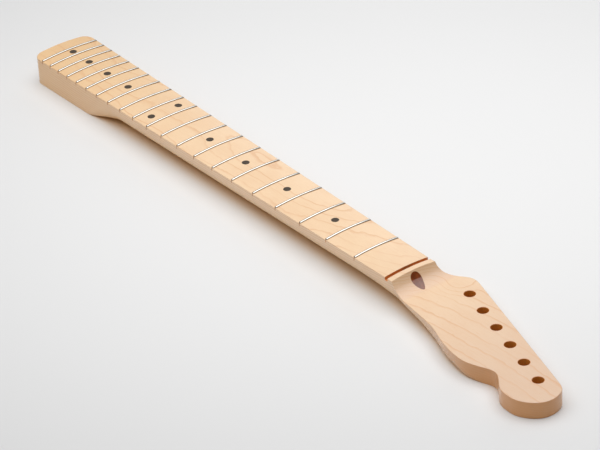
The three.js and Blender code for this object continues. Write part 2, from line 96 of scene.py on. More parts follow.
nut_slot_width = 3.18
nut_slot_depth = 3.6
shelf_length = 7.6
cove_radius = 19.05
head_thickness = 14.0
head_edge_round = 0.6
carve_end_from_nut = 17.0
carve_end_length = 60.0
squaring_from_nut = 30.0


def fret_place(fret):
    """Distance of a fret from the nut: the string length times one less two to the -fret/12."""
    return -scale_length * (1 - 2 ** (-np.asarray(fret) / 12))


last_fret_x = float(fret_place(fret_count))
heel_end_x = last_fret_x - board_overhang
heel_flat_x = heel_end_x + heel_flat_length
heel_ramp_x = heel_flat_x + heel_ramp_length
cove_drop = blank_thickness - head_thickness
cove_end_x = shelf_length + math.sqrt(cove_radius ** 2 - (cove_radius - cove_drop) ** 2)
carve_end_x = carve_end_length - carve_end_from_nut

# The CAD blank's lowest x is the heel's end, which ties this ruler to the frame.
nut_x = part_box("neck_blank")[0].x / mm - heel_end_x
print("nut slot at x = %.2f mm in the frame" % nut_x)

# %% [markdown]
# ## The outline of the head
#
# A head is sawn to a template, whose curves run smoothly into each other. Here the template is a
# chain of cubic curves through a few points with headings, the same as in the CAD. A dense
# polyline of it then answers one question: how far out is the edge at a given x?

# %% Outline of the head
tuner_count = 6
tuner_pitch = 24.6
tuner_hole_diameter = 8.7
tuner_slope = math.radians(16.85)
tuner_edge_inset = 12.6
tuner_along = np.array([math.cos(tuner_slope), -math.sin(tuner_slope)])
tuner_out = np.array([math.sin(tuner_slope), math.cos(tuner_slope)])
first_tuner = np.array([47.4, 21.85])
tuners = first_tuner + np.arange(tuner_count)[:, None] * tuner_pitch * tuner_along
edge_lead, edge_trail = 10, 5.4
edge_start = tuners[0] - edge_lead * tuner_along + tuner_edge_inset * tuner_out
edge_end = tuners[-1] + edge_trail * tuner_along + tuner_edge_inset * tuner_out

taper_past_nut = 4.5
ball_radius = 21.6
ball_from_last_tuner = np.array([2.2, -7.8])
ball_centre = tuners[-1] + ball_from_last_tuner
shoulder_shares = [(0.324, 0.275, 40), (0.541, 0.716, 41), (0.824, 1.057, 0)]
ball_shares = [
    (0.926, 0.468, -65), (1.037, 0.005, -90), (0.824, -0.5625, -130), (0.435, -0.87, -152),
    (-0.051, -0.981, -180), (-0.5185, -0.921, -200), (-0.833, -0.727, -219),
]
waist_shares = [
    (0.855, 0.757, -212), (0.8165, 0.703, -180), (0.766, 0.757, -156.5), (0.711, 0.843, -161),
    (0.6426, 0.89, -180), (0.55, 0.848, -191), (0.454, 0.741, -201.5), (0.347, 0.612, -190.5),
    (0.2427, 0.551, -186.5),
]


def shaft_half_width(x):
    """Half of the tapering width: it goes in a straight line from the nut to the last fret."""
    return (nut_width + (last_fret_width - nut_width) * np.asarray(x) / last_fret_x) / 2


def heading(degrees):
    """The unit vector that points this many degrees round from +X."""
    return np.array([math.cos(math.radians(degrees)), math.sin(math.radians(degrees))])


def outline_through(nodes, samples=48):
    """Cubic curves through points with headings. Each handle is the chord / (3 cos^2(turn/4)),
    which is the handle of a circular arc."""
    share = np.linspace(0, 1, samples)[:, None]
    pieces = []
    for (start, first), (end, last) in zip(nodes, nodes[1:]):
        handle = np.linalg.norm(end - start) / (3 * math.cos(math.radians(last - first) / 4) ** 2)
        leave, arrive = start + handle * heading(first), end - handle * heading(last)
        pieces.append(
            (1 - share) ** 3 * start
            + 3 * share * (1 - share) ** 2 * leave
            + 3 * share ** 2 * (1 - share) * arrive
            + share ** 3 * end
        )
    return np.vstack(pieces)


taper_end = np.array([taper_past_nut, shaft_half_width(taper_past_nut)])
taper_heading = math.degrees(math.atan((nut_width - last_fret_width) / 2 / -last_fret_x))
slope_heading = -math.degrees(tuner_slope)
ball_bottom = ball_centre[1] - ball_radius


def placed(corner, size, shares):
    """Shares of a size, counted from a corner, become points. Their headings stay."""
    return [(corner + np.array(size) * (along, across), turn) for along, across, turn in shares]


outline = outline_through([
    (taper_end, taper_heading),
    *placed(taper_end, edge_start - taper_end, shoulder_shares),
    (edge_start, slope_heading),
    (edge_end, slope_heading),
    *placed(ball_centre, ball_radius, ball_shares),
    *placed(0, (ball_centre[0], ball_bottom), waist_shares),
    (taper_end * (1, -1), -180 - taper_heading),
])
tip = outline[:, 0].argmax()
low_side, high_side = outline[:tip + 1], outline[tip:][::-1]
print("outline:", len(outline), "points, tip at x = %.1f mm" % outline[tip, 0])


def edge_across(x, sign):
    """The y of the edge at x: the straight taper to just past the nut, then the template."""
    side = low_side if sign > 0 else high_side
    return np.where(x <= taper_past_nut, sign * shaft_half_width(x), np.interp(x, side[:, 0], side[:, 1]))


# %% [markdown]
# ## Heights: the arched board, the cove and the carved back
#
# Three rules shape the wood. The board is a shallow arch whose radius grows toward the heel. The
# cove is an arc of a circle, cut with a drum sander, that drops from the shelf behind the nut to
# the face of the head. The back is a superellipse: an exponent of about two is a round neck,
# and a very large one is the square block of the heel.

# %% Heights of the wood
def smooth_step(value, low, high):
    """Zero up to low, one past high, and 3t^2 - 2t^3 between them."""
    share = np.clip((value - low) / (high - low), 0, 1)
    return share ** 2 * (3 - 2 * share)


def board_height(x, y):
    """Height of the arch: the crown less the sagitta of a circle of the radius at x."""
    taper = np.minimum(x, 0) / last_fret_x
    radius = nut_board_radius + (last_fret_board_radius - nut_board_radius) * taper
    return blank_thickness - radius + np.sqrt(radius ** 2 - np.asarray(y) ** 2)


def cove_height(x):
    """Height of the cove: a circle of the cove's radius that is tangent to the head's face."""
    reach = np.clip(cove_end_x - np.asarray(x), 0, cove_radius)
    return head_thickness + cove_radius - np.sqrt(cove_radius ** 2 - reach ** 2)


crease_softness = 0.3


def top_height(x, y):
    """The lower of board and cove, with a small round where they meet: a polynomial soft minimum."""
    board, cove = board_height(x, y), cove_height(x)
    share = np.clip(0.5 + 0.5 * (board - cove) / crease_softness, 0, 1)
    return board + (cove - board) * share - crease_softness * share * (1 - share)


def heel_share(x):
    """One on the heel's block, zero on the round neck, a smooth step along the ramp."""
    return 1 - smooth_step(x, heel_flat_x, heel_ramp_x)


def back_height(x):
    """Lowest height of the section at x: the carve's depth, which fades into the two flats."""
    twelfth, first = float(fret_place(12)), float(fret_place(1))
    along = np.clip((x - twelfth) / (first - twelfth), 0, 1)
    thickness = twelfth_fret_thickness + (first_fret_thickness - twelfth_fret_thickness) * along
    carved = blank_thickness - thickness
    flat = np.maximum(heel_share(x), smooth_step(x, -carve_end_from_nut, carve_end_x))
    return carved + (-flat_cut - carved) * flat


roundness_rows = np.array([
    (0, 0.389), (0.12, 0.375), (0.24, 0.287), (0.36, 0.172), (0.48, 0.17), (0.6, 0.145), (0.75, 0.025),
])
low_side_squaring = 0.36
averaged_reach, averaged_places = 4, 9


def section_roundness(x, sign):
    """One over the superellipse's exponent: a table along the head, averaged over a few
    millimetres so that no kink shows, blended with the heel's square block."""
    length = ball_centre[0] * np.where(np.asarray(sign) > 0, low_side_squaring, 1.0)
    total = 0
    offsets = np.linspace(-averaged_reach, averaged_reach, averaged_places)
    for offset in offsets:
        share = (x + offset) / length
        places = np.concatenate([[-squaring_from_nut / ball_centre[0]], roundness_rows[:, 0]])
        values = np.concatenate([[neck_roundness], roundness_rows[:, 1]])
        total = total + np.interp(share, places, values)
    near_head = total / len(offsets)
    return near_head + (heel_roundness - near_head) * heel_share(x)


def spine_across(x):
    """The y of the middle line, which swings over to the centre of the head's ball."""
    return ball_centre[1] * smooth_step(x, edge_start[0], ball_centre[0])


def edge_round(x):
    """Radius of the rounded top edge: the board's, and past the cove the head's."""
    return board_edge_round + (head_edge_round - board_edge_round) * smooth_step(x, shelf_length, cove_end_x)


print("crown at the nut: %.2f mm, face of the head: %.2f mm" % (top_height(0, 0), top_height(cove_end_x, 0)))

# %% [markdown]
# ## The loft
#
# A section of the neck is a closed curve, and a neck is hundreds of them. They are made in halves:
# from the middle of the top out to the edge, round the edge, and down the carve to the middle of
# the back. The halves go up one side, fan out round the ball, come down the other side and fan
# out round the heel's end, so one grid of points covers the whole blank without a seam.

# %% Half sections as one array
board_rows, round_rows, back_rows = 14, 5, 30


def half_sections(spine, edge, bow, sign):
    """Points of many half sections at once, (sections, rows, 3).

    Top: height of the wood at the place. Edge: a quarter circle. Back: with the section's width a
    and depth b, |y/a|^n + |z/b|^n = 1, walked by the angle of its normal, so that the points
    gather where it bends: y = a (a cos / h)^(m-1), z = b (b sin / h)^(m-1), m = n / (n - 1)."""
    reach = np.linalg.norm(edge - spine, axis=1)[:, None]
    round_size = edge_round(edge[:, :1])

    def place(distance):
        share = distance / reach
        x = spine[:, :1] + (edge[:, :1] - spine[:, :1]) * share ** bow[:, None]
        return x, spine[:, 1:] + (edge[:, 1:] - spine[:, 1:]) * share

    x, y = place((reach - round_size) * np.linspace(0, 1, board_rows)[None])
    top = np.stack([x, y, top_height(x, y)], -1)
    shoulder = top[:, -1:, 2]

    angle = np.linspace(0, math.pi / 2, round_rows + 1)[None, 1:]
    x, y = place(reach - round_size + round_size * np.sin(angle))
    corner = np.stack([x, y, shoulder - round_size + round_size * np.cos(angle)], -1)

    start_x = np.minimum(spine[:, :1], 0)
    level = board_height(start_x, shaft_half_width(start_x))
    depth = level - back_height(spine[:, :1])
    power = 1 / section_roundness(spine[:, :1], sign[:, None])
    start_share = np.maximum(0, level - shoulder + round_size) / depth
    reach_share = (1 - start_share ** power) ** (1 / power)
    width = reach / reach_share
    start_angle = np.arctan(width / depth * (start_share / reach_share) ** (power - 1))
    angle = start_angle + (math.pi / 2 - start_angle) * np.linspace(0, 1, back_rows + 1)[None, 1:]
    dual = power / (power - 1)
    across_part, down_part = width * np.cos(angle), depth * np.sin(angle)
    support = (across_part ** dual + down_part ** dual) ** (1 / dual)
    across = width * (across_part / support) ** (dual - 1)
    down = depth * (down_part / support) ** (dual - 1)
    across[:, -1], down[:, -1] = 0, depth[:, 0]
    x, y = place(across)
    back = np.stack([x, y, np.maximum(0, level - down)], -1)
    return np.concatenate([top, corner, back], 1)


print("points in a half section:", board_rows + round_rows + back_rows)

# %% Stations along the neck, and the fans at its two ends
heel_fan_x = heel_end_x + last_fret_width / 2
# Each span is from, to and spacing.
station_spans = [
    (heel_fan_x, heel_flat_x, 5.0), (heel_flat_x, heel_ramp_x, 1.5), (heel_ramp_x, -carve_end_from_nut, 3.0),
    (-carve_end_from_nut, 0, 1.5), (0, shelf_length, 0.4), (shelf_length, cove_end_x, 0.35),
    (cove_end_x, ball_centre[0] - 0.5, 0.9),
]
straight_stations = np.concatenate([np.arange(*span) for span in station_spans] + [ball_centre[:1]])
edge_drop = float(board_height(0, shaft_half_width(shelf_length))) - head_thickness
crease_x = cove_end_x - math.sqrt(cove_radius ** 2 - (cove_radius - edge_drop) ** 2)
crease_lead = smooth_step(straight_stations, nut_slot_width + 1, shelf_length)
crease_fade = 1 - smooth_step(straight_stations, shelf_length, cove_end_x)
station_bend = (crease_x - shelf_length) * crease_lead * crease_fade


def side_sections(sign):
    """All half sections along one side. Near the crease their plan bends back with the shelf."""
    edge_x = straight_stations + station_bend
    spine = np.column_stack([straight_stations, spine_across(straight_stations)])
    edge = np.column_stack([edge_x, edge_across(edge_x, sign)])
    bow = np.where(station_bend != 0, 2.0, 1.0)
    return half_sections(spine, edge, bow, np.full(len(bow), sign))


def fan_sections(centre, edge, signs):
    """Half sections that all start from one centre."""
    spine = np.broadcast_to(centre, edge.shape)
    return half_sections(spine, edge, np.ones(len(edge)), signs)


beyond = outline[outline[:, 0] >= ball_centre[0]] - ball_centre
arm_angle = np.arctan2(beyond[:, 1], beyond[:, 0])[::-1]
arm_length = np.linalg.norm(beyond, axis=1)[::-1]
ball_angle = np.linspace(math.pi / 2, -math.pi / 2, 96)[1:-1]
ball_arm = np.interp(ball_angle, arm_angle, arm_length)[:, None]
ball_edge = ball_centre + ball_arm * np.column_stack([np.cos(ball_angle), np.sin(ball_angle)])

corner_y = float(shaft_half_width(heel_end_x + heel_corner_radius)) - heel_corner_radius
end_centre_x = heel_end_x + heel_end_radius
corner_x = end_centre_x - math.sqrt((heel_end_radius - heel_corner_radius) ** 2 - corner_y ** 2)
meeting = math.atan2(corner_y, corner_x - end_centre_x)
corner_angle = np.linspace(meeting, math.pi / 2, 14)
corner_arc = np.column_stack([
    corner_x + heel_corner_radius * np.cos(corner_angle),
    corner_y + heel_corner_radius * np.sin(corner_angle),
])
end_angle = np.linspace(2 * math.pi - meeting, meeting, 30)[1:-1]
end_arc = np.column_stack([
    end_centre_x + heel_end_radius * np.cos(end_angle),
    heel_end_radius * np.sin(end_angle),
])
side_x = np.linspace(corner_x, heel_fan_x, 7)[1:-1]
side_line = np.column_stack([side_x, shaft_half_width(side_x)])
heel_edge = np.vstack([
    side_line[::-1] * (1, -1),
    corner_arc[::-1] * (1, -1),
    end_arc,
    corner_arc,
    side_line,
])

blank_grid = np.concatenate([
    side_sections(1),
    fan_sections(ball_centre, ball_edge, np.ones(len(ball_edge))),
    side_sections(-1)[::-1],
    fan_sections(np.array([heel_fan_x, 0.0]), heel_edge, np.ones(len(heel_edge))),
])
print("blank: %d half sections of %d points" % blank_grid.shape[:2])

# %% [markdown]
# ## From grids to meshes
#
# Every piece below is a grid of points. Three helpers turn one into a closed mesh: the first lists
# the grid's faces, the second turns them outward, and the third writes the mesh, welds its seams
# and poles, and marks as sharp only the edges that are real corners.

# %% Mesh helpers
weld_distance = 1e-7


def grid_faces(grid, wrap_rows=False, wrap_columns=False):
    """Four corners of each cell of a (rows, columns) grid. Wrapping joins the last to the first."""
    index = np.arange(grid.shape[0] * grid.shape[1]).reshape(grid.shape[:2])
    if wrap_rows:
        index = np.vstack([index, index[:1]])
    if wrap_columns:
        index = np.hstack([index, index[:, :1]])
    cells = [index[:-1, :-1], index[1:, :-1], index[1:, 1:], index[:-1, 1:]]
    return np.stack(cells, -1).reshape(-1, 4)


def outward(points, faces):
    """Turns all faces round if the closed shape's signed volume is negative. The volume is a sum
    over triangles of a . (b x c) / 6, and a face with four corners is two triangles."""
    first, second, third, fourth = np.moveaxis(points[faces], 1, 0)
    volume = (first * (np.cross(second, third) + np.cross(third, fourth))).sum() / 6
    return (points, faces) if volume > 0 else (points, faces[:, ::-1])


def to_frame(points):
    """From millimetres past the nut to metres in the part's frame."""
    return (np.asarray(points).reshape(-1, 3) + (nut_x, 0, 0)) * mm


def mesh_piece(name, points, faces, sharp_degrees=35.0):
    """A closed mesh from points in millimetres past the nut, with doubled points welded."""
    mesh = bpy.data.meshes.new(name)
    mesh.from_pydata(to_frame(points).tolist(), [], np.asarray(faces).tolist())
    work = bmesh.new()
    work.from_mesh(mesh)
    bmesh.ops.remove_doubles(work, verts=work.verts, dist=weld_distance)
    work.to_mesh(mesh)
    open_edges = sum(not edge.is_manifold for edge in work.edges)
    work.free()
    finish_mesh(mesh, sharp_degrees)
    piece = bpy.data.objects.new(name, mesh)
    bpy.context.scene.collection.objects.link(piece)
    if open_edges:
        print("  %s has %d open edges" % (name, open_edges))
    return piece


def finish_mesh(mesh, sharp_degrees):
    """Smooth shading, with a sharp edge wherever two faces meet at more than the given angle."""
    mesh.polygons.foreach_set("use_smooth", np.ones(len(mesh.polygons), bool))
    mesh.set_sharp_from_angle(angle=math.radians(sharp_degrees))
    mesh.update()


def tube(rings):
    """Points and faces of rings of points (rings, around, 3), with both ends closed to a point."""
    ends = [np.repeat(ring.mean(0)[None], len(ring), 0) for ring in (rings[0], rings[-1])]
    grid = np.concatenate([ends[:1], rings, ends[1:]])
    return outward(grid.reshape(-1, 3), grid_faces(grid, wrap_columns=True))


def join_shapes(shapes):
    """One list of points and one of faces from several."""
    points, faces, count = [], [], 0
    for shape_points, shape_faces in shapes:
        points.append(shape_points)
        faces.append(np.asarray(shape_faces) + count)
        count += len(shape_points)
    return np.vstack(points), np.vstack(faces)


def turn_about(axis, centre, radius_and_place, sides=48):
    """A turned solid: each (radius, place along the axis) row becomes a circle."""
    angle = np.arange(sides) / sides * 2 * math.pi
    rows = np.asarray(radius_and_place, float)
    wave = [np.cos(angle)[None] * rows[:, :1], np.sin(angle)[None] * rows[:, :1]]
    along = np.broadcast_to(rows[:, 1:], wave[0].shape)
    order = {"x": (along, wave[0], wave[1]), "y": (wave[1], along, wave[0]), "z": (wave[0], wave[1], along)}
    return tube(np.stack(order[axis], -1) + np.asarray(centre))


def box_shape(low, high, columns=1, bend=None):
    """A box as rings along y, which a bend may lift or drop to follow the board's arch."""
    y = np.linspace(low[1], high[1], columns + 1)
    corner_x = np.array([low[0], high[0], high[0], low[0]])
    corner_z = np.array([low[2], low[2], high[2], high[2]])
    rings = np.stack(np.broadcast_arrays(corner_x[None], y[:, None], corner_z[None]), -1).astype(float)
    if bend is not None:
        rings[..., 2] += bend(rings[..., 0], rings[..., 1])
    return tube(rings)


blank = mesh_piece("maple_neck", *outward(blank_grid.reshape(-1, 3), grid_faces(blank_grid, wrap_rows=True)))
print("blank mesh: %d faces" % len(blank.data.polygons))

# %% [markdown]
# ## The cuts
#
# The maker then saws the fret slots, cuts the nut slot, drills for the tuners and the dots, and
# routs the groove for the rod from the back. Each cut is a closed cutter, and a boolean takes the
# cutters away from the blank. Cutters that overlap go in different passes. Their faces carry the
# second material: bare wood, painted darker and redder as the shade inside the slots and holes.

# %% Cutters
overrun = 2.0
fret_slot_depth = 2.4
tang_width = 0.5
glued_gap = 0.05
dot_radius = 6.35 / 2
dot_depth = 2.0
side_dot_radius = 1.0
side_dot_depth = 2.5
side_dot_drop = 2.8
octave_dot_spread = 27.2
octave_side_dot_spread = 7.0
plug_radius = 9.525 / 2
rod_radius = 2.4
running_gap = 0.3
rod_head_height = blank_thickness - 6.2
rod_low_height = blank_thickness - 16.4
rod_heel_height = blank_thickness - 10.9
rod_low_x = -230.0
rod_straight_x = -16.0
strip_half_width = 6.35 / 2
strip_head_x = -18.0
strip_heel_x = heel_end_x + 66.0
strip_spacing = 4.0
anchor_heel_x = -16.0
washer_thickness = 1.2
rod_nut_recess = 0.8
rod_nut_length = 12.7
rod_nut_radius = 4.0
bore_slack = 0.1
heel_bore_x = heel_end_x + rod_nut_recess + rod_nut_length + running_gap + washer_thickness + bore_slack
hole_edge_round = 0.4


def fret_slot(fret):
    """A thin box across the board, bent so that its floor keeps an even depth under the arch."""
    x = float(fret_place(fret))
    half = tang_width / 2 + glued_gap
    reach = float(shaft_half_width(x)) + overrun
    low, high = (x - half, -reach, -fret_slot_depth), (x + half, reach, overrun)
    return box_shape(low, high, 24, board_height)


def tuner_hole(place):
    """A bore whose two rims are rounded over by a quarter circle."""
    angle = np.linspace(0, math.pi / 2, 5)
    flare = tuner_hole_diameter / 2 + hole_edge_round * (1 - np.cos(angle))
    rise = head_thickness - hole_edge_round + hole_edge_round * np.sin(angle)
    upper = np.column_stack([flare, rise])
    lower = np.column_stack([flare, head_thickness - rise])[::-1]
    outer = flare[-1]
    rows = np.vstack([[(outer, -overrun)], lower, upper, [(outer, head_thickness + overrun)]])
    return turn_about("z", (*place, 0), rows, 64)


dotted_frets = [3, 5, 7, 9, 12, 15, 17, 19, 21]
face_dots, side_dots = [], []
for fret in dotted_frets:
    x = float(fret_place(fret) + fret_place(fret - 1)) / 2
    if fret % 12:
        face_dots.append(("%02d" % fret, x, 0.0))
        side_dots.append(("side_dot_%02d" % fret, x))
    else:
        face_dots.append(("12_low_side", x, octave_dot_spread / 2))
        face_dots.append(("12_high_side", x, -octave_dot_spread / 2))
        side_dots.append(("side_dot_12_heel_side", x - octave_side_dot_spread / 2))
        side_dots.append(("side_dot_12_nut_side", x + octave_side_dot_spread / 2))


def dot_pocket(x, y):
    """A flat-bottomed bore down into the face."""
    floor = float(board_height(x, y)) - dot_depth
    return turn_about("z", (x, y, 0), [(dot_radius, floor), (dot_radius, blank_thickness + overrun)])


def side_dot_height(x):
    """Height of a side dot's middle: a fixed drop below the board's edge."""
    return float(board_height(x, shaft_half_width(x))) - side_dot_drop


def side_pocket(x):
    """A flat-bottomed bore into the low side's edge."""
    edge = float(shaft_half_width(x))
    rows = [(side_dot_radius, edge - side_dot_depth), (side_dot_radius, edge + overrun)]
    return turn_about("y", (x, 0, side_dot_height(x)), rows, 32)


def rod_height(x):
    """The rod's line: straight at both ends, and a cosine sag toward the back between them."""
    toward_head = (x - rod_low_x) / (rod_straight_x - rod_low_x)
    toward_heel = (x - rod_low_x) / (strip_heel_x - rod_low_x)
    share = np.clip(np.where(x > rod_low_x, toward_head, toward_heel), 0, 1)
    end = np.where(x > rod_low_x, rod_head_height, rod_heel_height)
    return rod_low_height + (end - rod_low_height) * (1 - np.cos(math.pi * share)) / 2


def strip_plan(gap):
    """Stations along the strip and its half width there: straight, with a half circle at each end."""
    low, high = strip_heel_x + gap, strip_head_x - gap
    radius = strip_half_width - gap
    turn = np.linspace(0.02, math.pi / 2, 10)
    x = np.concatenate([
        low + radius * (1 - np.cos(turn)),
        np.arange(low + radius + strip_spacing, high - radius - strip_spacing / 2, strip_spacing),
        (high - radius * (1 - np.cos(turn)))[::-1],
    ])
    half = np.concatenate([
        radius * np.sin(turn),
        np.full(len(x) - 2 * len(turn), radius),
        (radius * np.sin(turn))[::-1],
    ])
    return x, half


def groove():
    """The rod's groove, open to the back: rings along the strip from below the wood to the rod."""
    x, half = strip_plan(0)
    y = half[:, None] * np.array([-1, 1, 1, -1])[None]
    top = rod_height(x) + rod_radius + running_gap
    z = np.where(np.array([0, 0, 1, 1])[None] > 0, top[:, None], -overrun)
    return tube(np.stack([np.broadcast_to(x[:, None], y.shape), y, z], -1))


def plug_bore():
    """The bore along the plug, a circle that stays below the nut slot's floor up to its far wall."""
    angle = np.arange(72) / 72 * 2 * math.pi
    y, z = plug_radius * np.cos(angle), rod_head_height + plug_radius * np.sin(angle)
    flat = np.minimum(z, blank_thickness - nut_slot_depth)
    start_x = anchor_heel_x - bore_slack
    rows = ((start_x, flat), (nut_slot_width, flat), (nut_slot_width, z), (cove_end_x, z))
    return tube(np.array([np.column_stack([np.full(len(angle), x), y, height]) for x, height in rows]))


def level_bore(height, radius, low, high, sides=48):
    """A bore along the neck."""
    return turn_about("x", (0, 0, height), [(radius, low), (radius, high)], sides)


nut_half = nut_width / 2 + overrun
nut_slot = box_shape(
    (0, -nut_half, blank_thickness - nut_slot_depth),
    (nut_slot_width, nut_half, blank_thickness + overrun),
)
rod_bore_radius = rod_radius + running_gap
rod_bore_lap = 6.0
passes = [
    [fret_slot(fret) for fret in range(1, fret_count + 1)]
    + [tuner_hole(place) for place in tuners]
    + [dot_pocket(x, y) for _, x, y in face_dots]
    + [side_pocket(x) for _, x in side_dots]
    + [nut_slot, level_bore(rod_heel_height, plug_radius, heel_end_x - overrun, heel_bore_x)],
    [groove(), plug_bore()],
    [
        level_bore(rod_head_height, rod_bore_radius, strip_head_x - rod_bore_lap, anchor_heel_x, 32),
        level_bore(rod_heel_height, rod_bore_radius, heel_bore_x - overrun, strip_heel_x + rod_bore_lap, 32),
    ],
]
print("cutters in the passes:", [len(shapes) for shapes in passes])

# %% Take the cutters away
maple = bpy.data.materials.new("clear_lacquered_maple")
# Inside the cuts the bare wood is painted darker and redder as shade.
maple_cut = bpy.data.materials.new("maple_inside_the_cuts_shaded")
for finish in (maple, maple_cut):
    blank.data.materials.append(finish)


cut_sharp_degrees = 30.0


def cut_away(piece, shapes):
    """Takes one pass of cutters out of the piece and marks their faces with the second slot."""
    cutter = mesh_piece("cutter", *join_shapes(shapes))
    for finish in piece.data.materials:
        cutter.data.materials.append(finish)
    cutter.data.polygons.foreach_set("material_index", np.ones(len(cutter.data.polygons), np.int32))
    modifier = piece.modifiers.new("cut", "BOOLEAN")
    modifier.operation = "DIFFERENCE"
    modifier.solver = "EXACT"
    modifier.object = cutter
    result = bpy.data.meshes.new_from_object(piece.evaluated_get(bpy.context.evaluated_depsgraph_get()))
    piece.modifiers.clear()
    piece.data = result
    bpy.data.objects.remove(cutter)
    finish_mesh(result, cut_sharp_degrees)
    return len(result.polygons)


def weigh_normals(piece):
    """Large faces decide the normals, so that a small round beside a flat face leaves it flat."""
    modifier = piece.modifiers.new("weigh", "WEIGHTED_NORMAL")
    modifier.mode = "FACE_AREA"
    modifier.keep_sharp = True
    piece.data = bpy.data.meshes.new_from_object(piece.evaluated_get(bpy.context.evaluated_depsgraph_get()))
    piece.modifiers.clear()


for shapes in passes:
    print("after a pass of %d cutters: %d faces" % (len(shapes), cut_away(blank, shapes)))
weigh_normals(blank)
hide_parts("neck_blank")
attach(blank, "neck")

# %% [markdown]
# ## Frets
#
# Fret wire is drawn nickel silver: a low crown over a thin tang. The maker presses it into the
# slot, nips it and files both ends to a slant, then breaks the sharp corners. A fret is a profile
# carried across the board, whose ends lean in as the profile rises.

# %% Fret wire
crown_width = 2.2
crown_height = 1.0
tang_depth = 1.6
fret_end_inset = 0.3
fret_end_bevel = math.radians(30)
fret_end_round = 0.25
crown_foot, tang_top = 0.04, 0.02
profile_middle = 0.25
first_ease = 0.1
body_stations = 27


def fret_wire(fret):
    """Profile: an ellipse over a flat base and a tang. It is carried along the arch. Near an end
    the profile shrinks by a quarter circle, and its end leans in by the height times tan 30."""
    x = float(fret_place(fret))
    half_length = float(shaft_half_width(x)) - fret_end_inset
    angle = np.linspace(0, math.pi, 17)
    crown_rise = (crown_height - crown_foot) * np.sin(angle)
    crown = np.column_stack([crown_width / 2 * np.cos(angle), crown_foot + crown_rise])
    side = tang_width / 2
    tang = [(-side, tang_top), (-side, -tang_depth), (side, -tang_depth), (side, tang_top)]
    profile = np.vstack([crown, tang])
    ease = np.linspace(first_ease, math.pi / 2, 5)
    shrink = np.concatenate([np.sin(ease), np.ones(body_stations - 2), np.sin(ease)[::-1]])
    round_y = fret_end_round * (1 - np.cos(ease))
    body_y = np.linspace(-half_length + fret_end_round, half_length - fret_end_round, body_stations)
    y = np.concatenate([-half_length + round_y, body_y[1:-1], (half_length - round_y)[::-1]])
    margin = (1 - shrink)[:, None, None] * fret_end_round
    direction = profile - (0, profile_middle)
    size = np.linalg.norm(direction, axis=1, keepdims=True)
    shaped = profile[None] - margin * (direction / size)[None]
    height = shaped[..., 1]
    lean = np.maximum(0, height) * math.tan(fret_end_bevel)
    across = y[:, None] * (half_length - lean) / half_length
    z = board_height(x, across) + height
    rings = np.stack([x + shaped[..., 0], across, z], -1)
    return mesh_piece("fret_wire_%02d" % fret, *tube(rings), sharp_degrees=50)


nickel_silver = bpy.data.materials.new("polished_nickel_silver")
for fret in range(1, fret_count + 1):
    wire = fret_wire(fret)
    wire.data.materials.append(nickel_silver)
    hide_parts("fret_%02d" % fret)
    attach(wire, "neck")
print("frets:", fret_count, "of", len(wire.data.polygons), "faces each")

# %% [markdown]
# ## Dots
#
# The dots are black pegs glued into drilled pockets, then sanded flush with the board. So a face
# dot's top follows the arch, and a side dot's end follows the taper. Sanding leaves the faintest
# round at the rim.

# %% Face dots and side dots
dot_clearance = 0.01
rim_round = 0.06
inner_ring_shares = (0.8, 0.55, 0.3)
black_peg = bpy.data.materials.new("black_peg")


def peg_rows(radius, floor, top):
    """Radius and place of a peg's rings: the floor, the wall, and a small round at the rim."""
    angle = np.linspace(0, math.pi / 2, 4)
    rim = np.column_stack([radius - rim_round * (1 - np.cos(angle)), top - rim_round * (1 - np.sin(angle))])
    inner = [(radius * share, top) for share in inner_ring_shares]
    return np.vstack([[(radius, floor)], rim, inner])


def face_dot(name, x, y):
    """A peg whose top is lifted and dropped with the arch."""
    height = float(board_height(x, y))
    rows = peg_rows(dot_radius - dot_clearance, height - dot_depth + dot_clearance, height)
    points, faces = turn_about("z", (x, y, 0), rows)
    arch = board_height(points[:, 0], points[:, 1]) - height
    points[:, 2] += np.where(points[:, 2] > height - dot_depth / 2, arch, 0)
    return mesh_piece("position_dot_" + name, points, faces)


def side_dot(name, x):
    """A lying peg whose outer end leans with the taper."""
    edge = float(shaft_half_width(x))
    rows = peg_rows(side_dot_radius - dot_clearance, edge - side_dot_depth + dot_clearance, edge)
    points, faces = turn_about("y", (x, 0, side_dot_height(x)), rows, 32)
    taper = shaft_half_width(points[:, 0]) - edge
    points[:, 1] += np.where(points[:, 1] > edge - side_dot_depth / 2, taper, 0)
    return mesh_piece("edge_" + name, points, faces)


pegs = [(face_dot(name, x, y), "dot_" + name) for name, x, y in face_dots]
pegs += [(side_dot(name, x), name) for name, x in side_dots]
for peg, node in pegs:
    peg.data.materials.append(black_peg)
    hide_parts(node)
    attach(peg, "neck")
print("dots:", len(face_dots), "in the face and", len(side_dots), "in the edge")

# %% [markdown]
# ## Walnut
#
# The rod goes in from the back, so the back needs a strip of walnut over it, and the bore behind
# the nut needs a plug. The plug is a rod of walnut, cut by the cove as one cuts a sausage at a
# slant, which is why it shows as a long oval. The nut slot shaves its top.

# %% Plug and strip
plug_heel_x = -9.9
plug_ring_shares = (1, 0.97, 0.85, 0.7, 0.5, 0.3, 0.15)
walnut_clearance = 0.01
walnut = bpy.data.materials.new("dark_walnut")


def cove_place(height):
    """The x at which the cove has this height: the inverse of the cove's circle."""
    return cove_end_x - np.sqrt(cove_radius ** 2 - (cove_radius - (height - head_thickness)) ** 2)


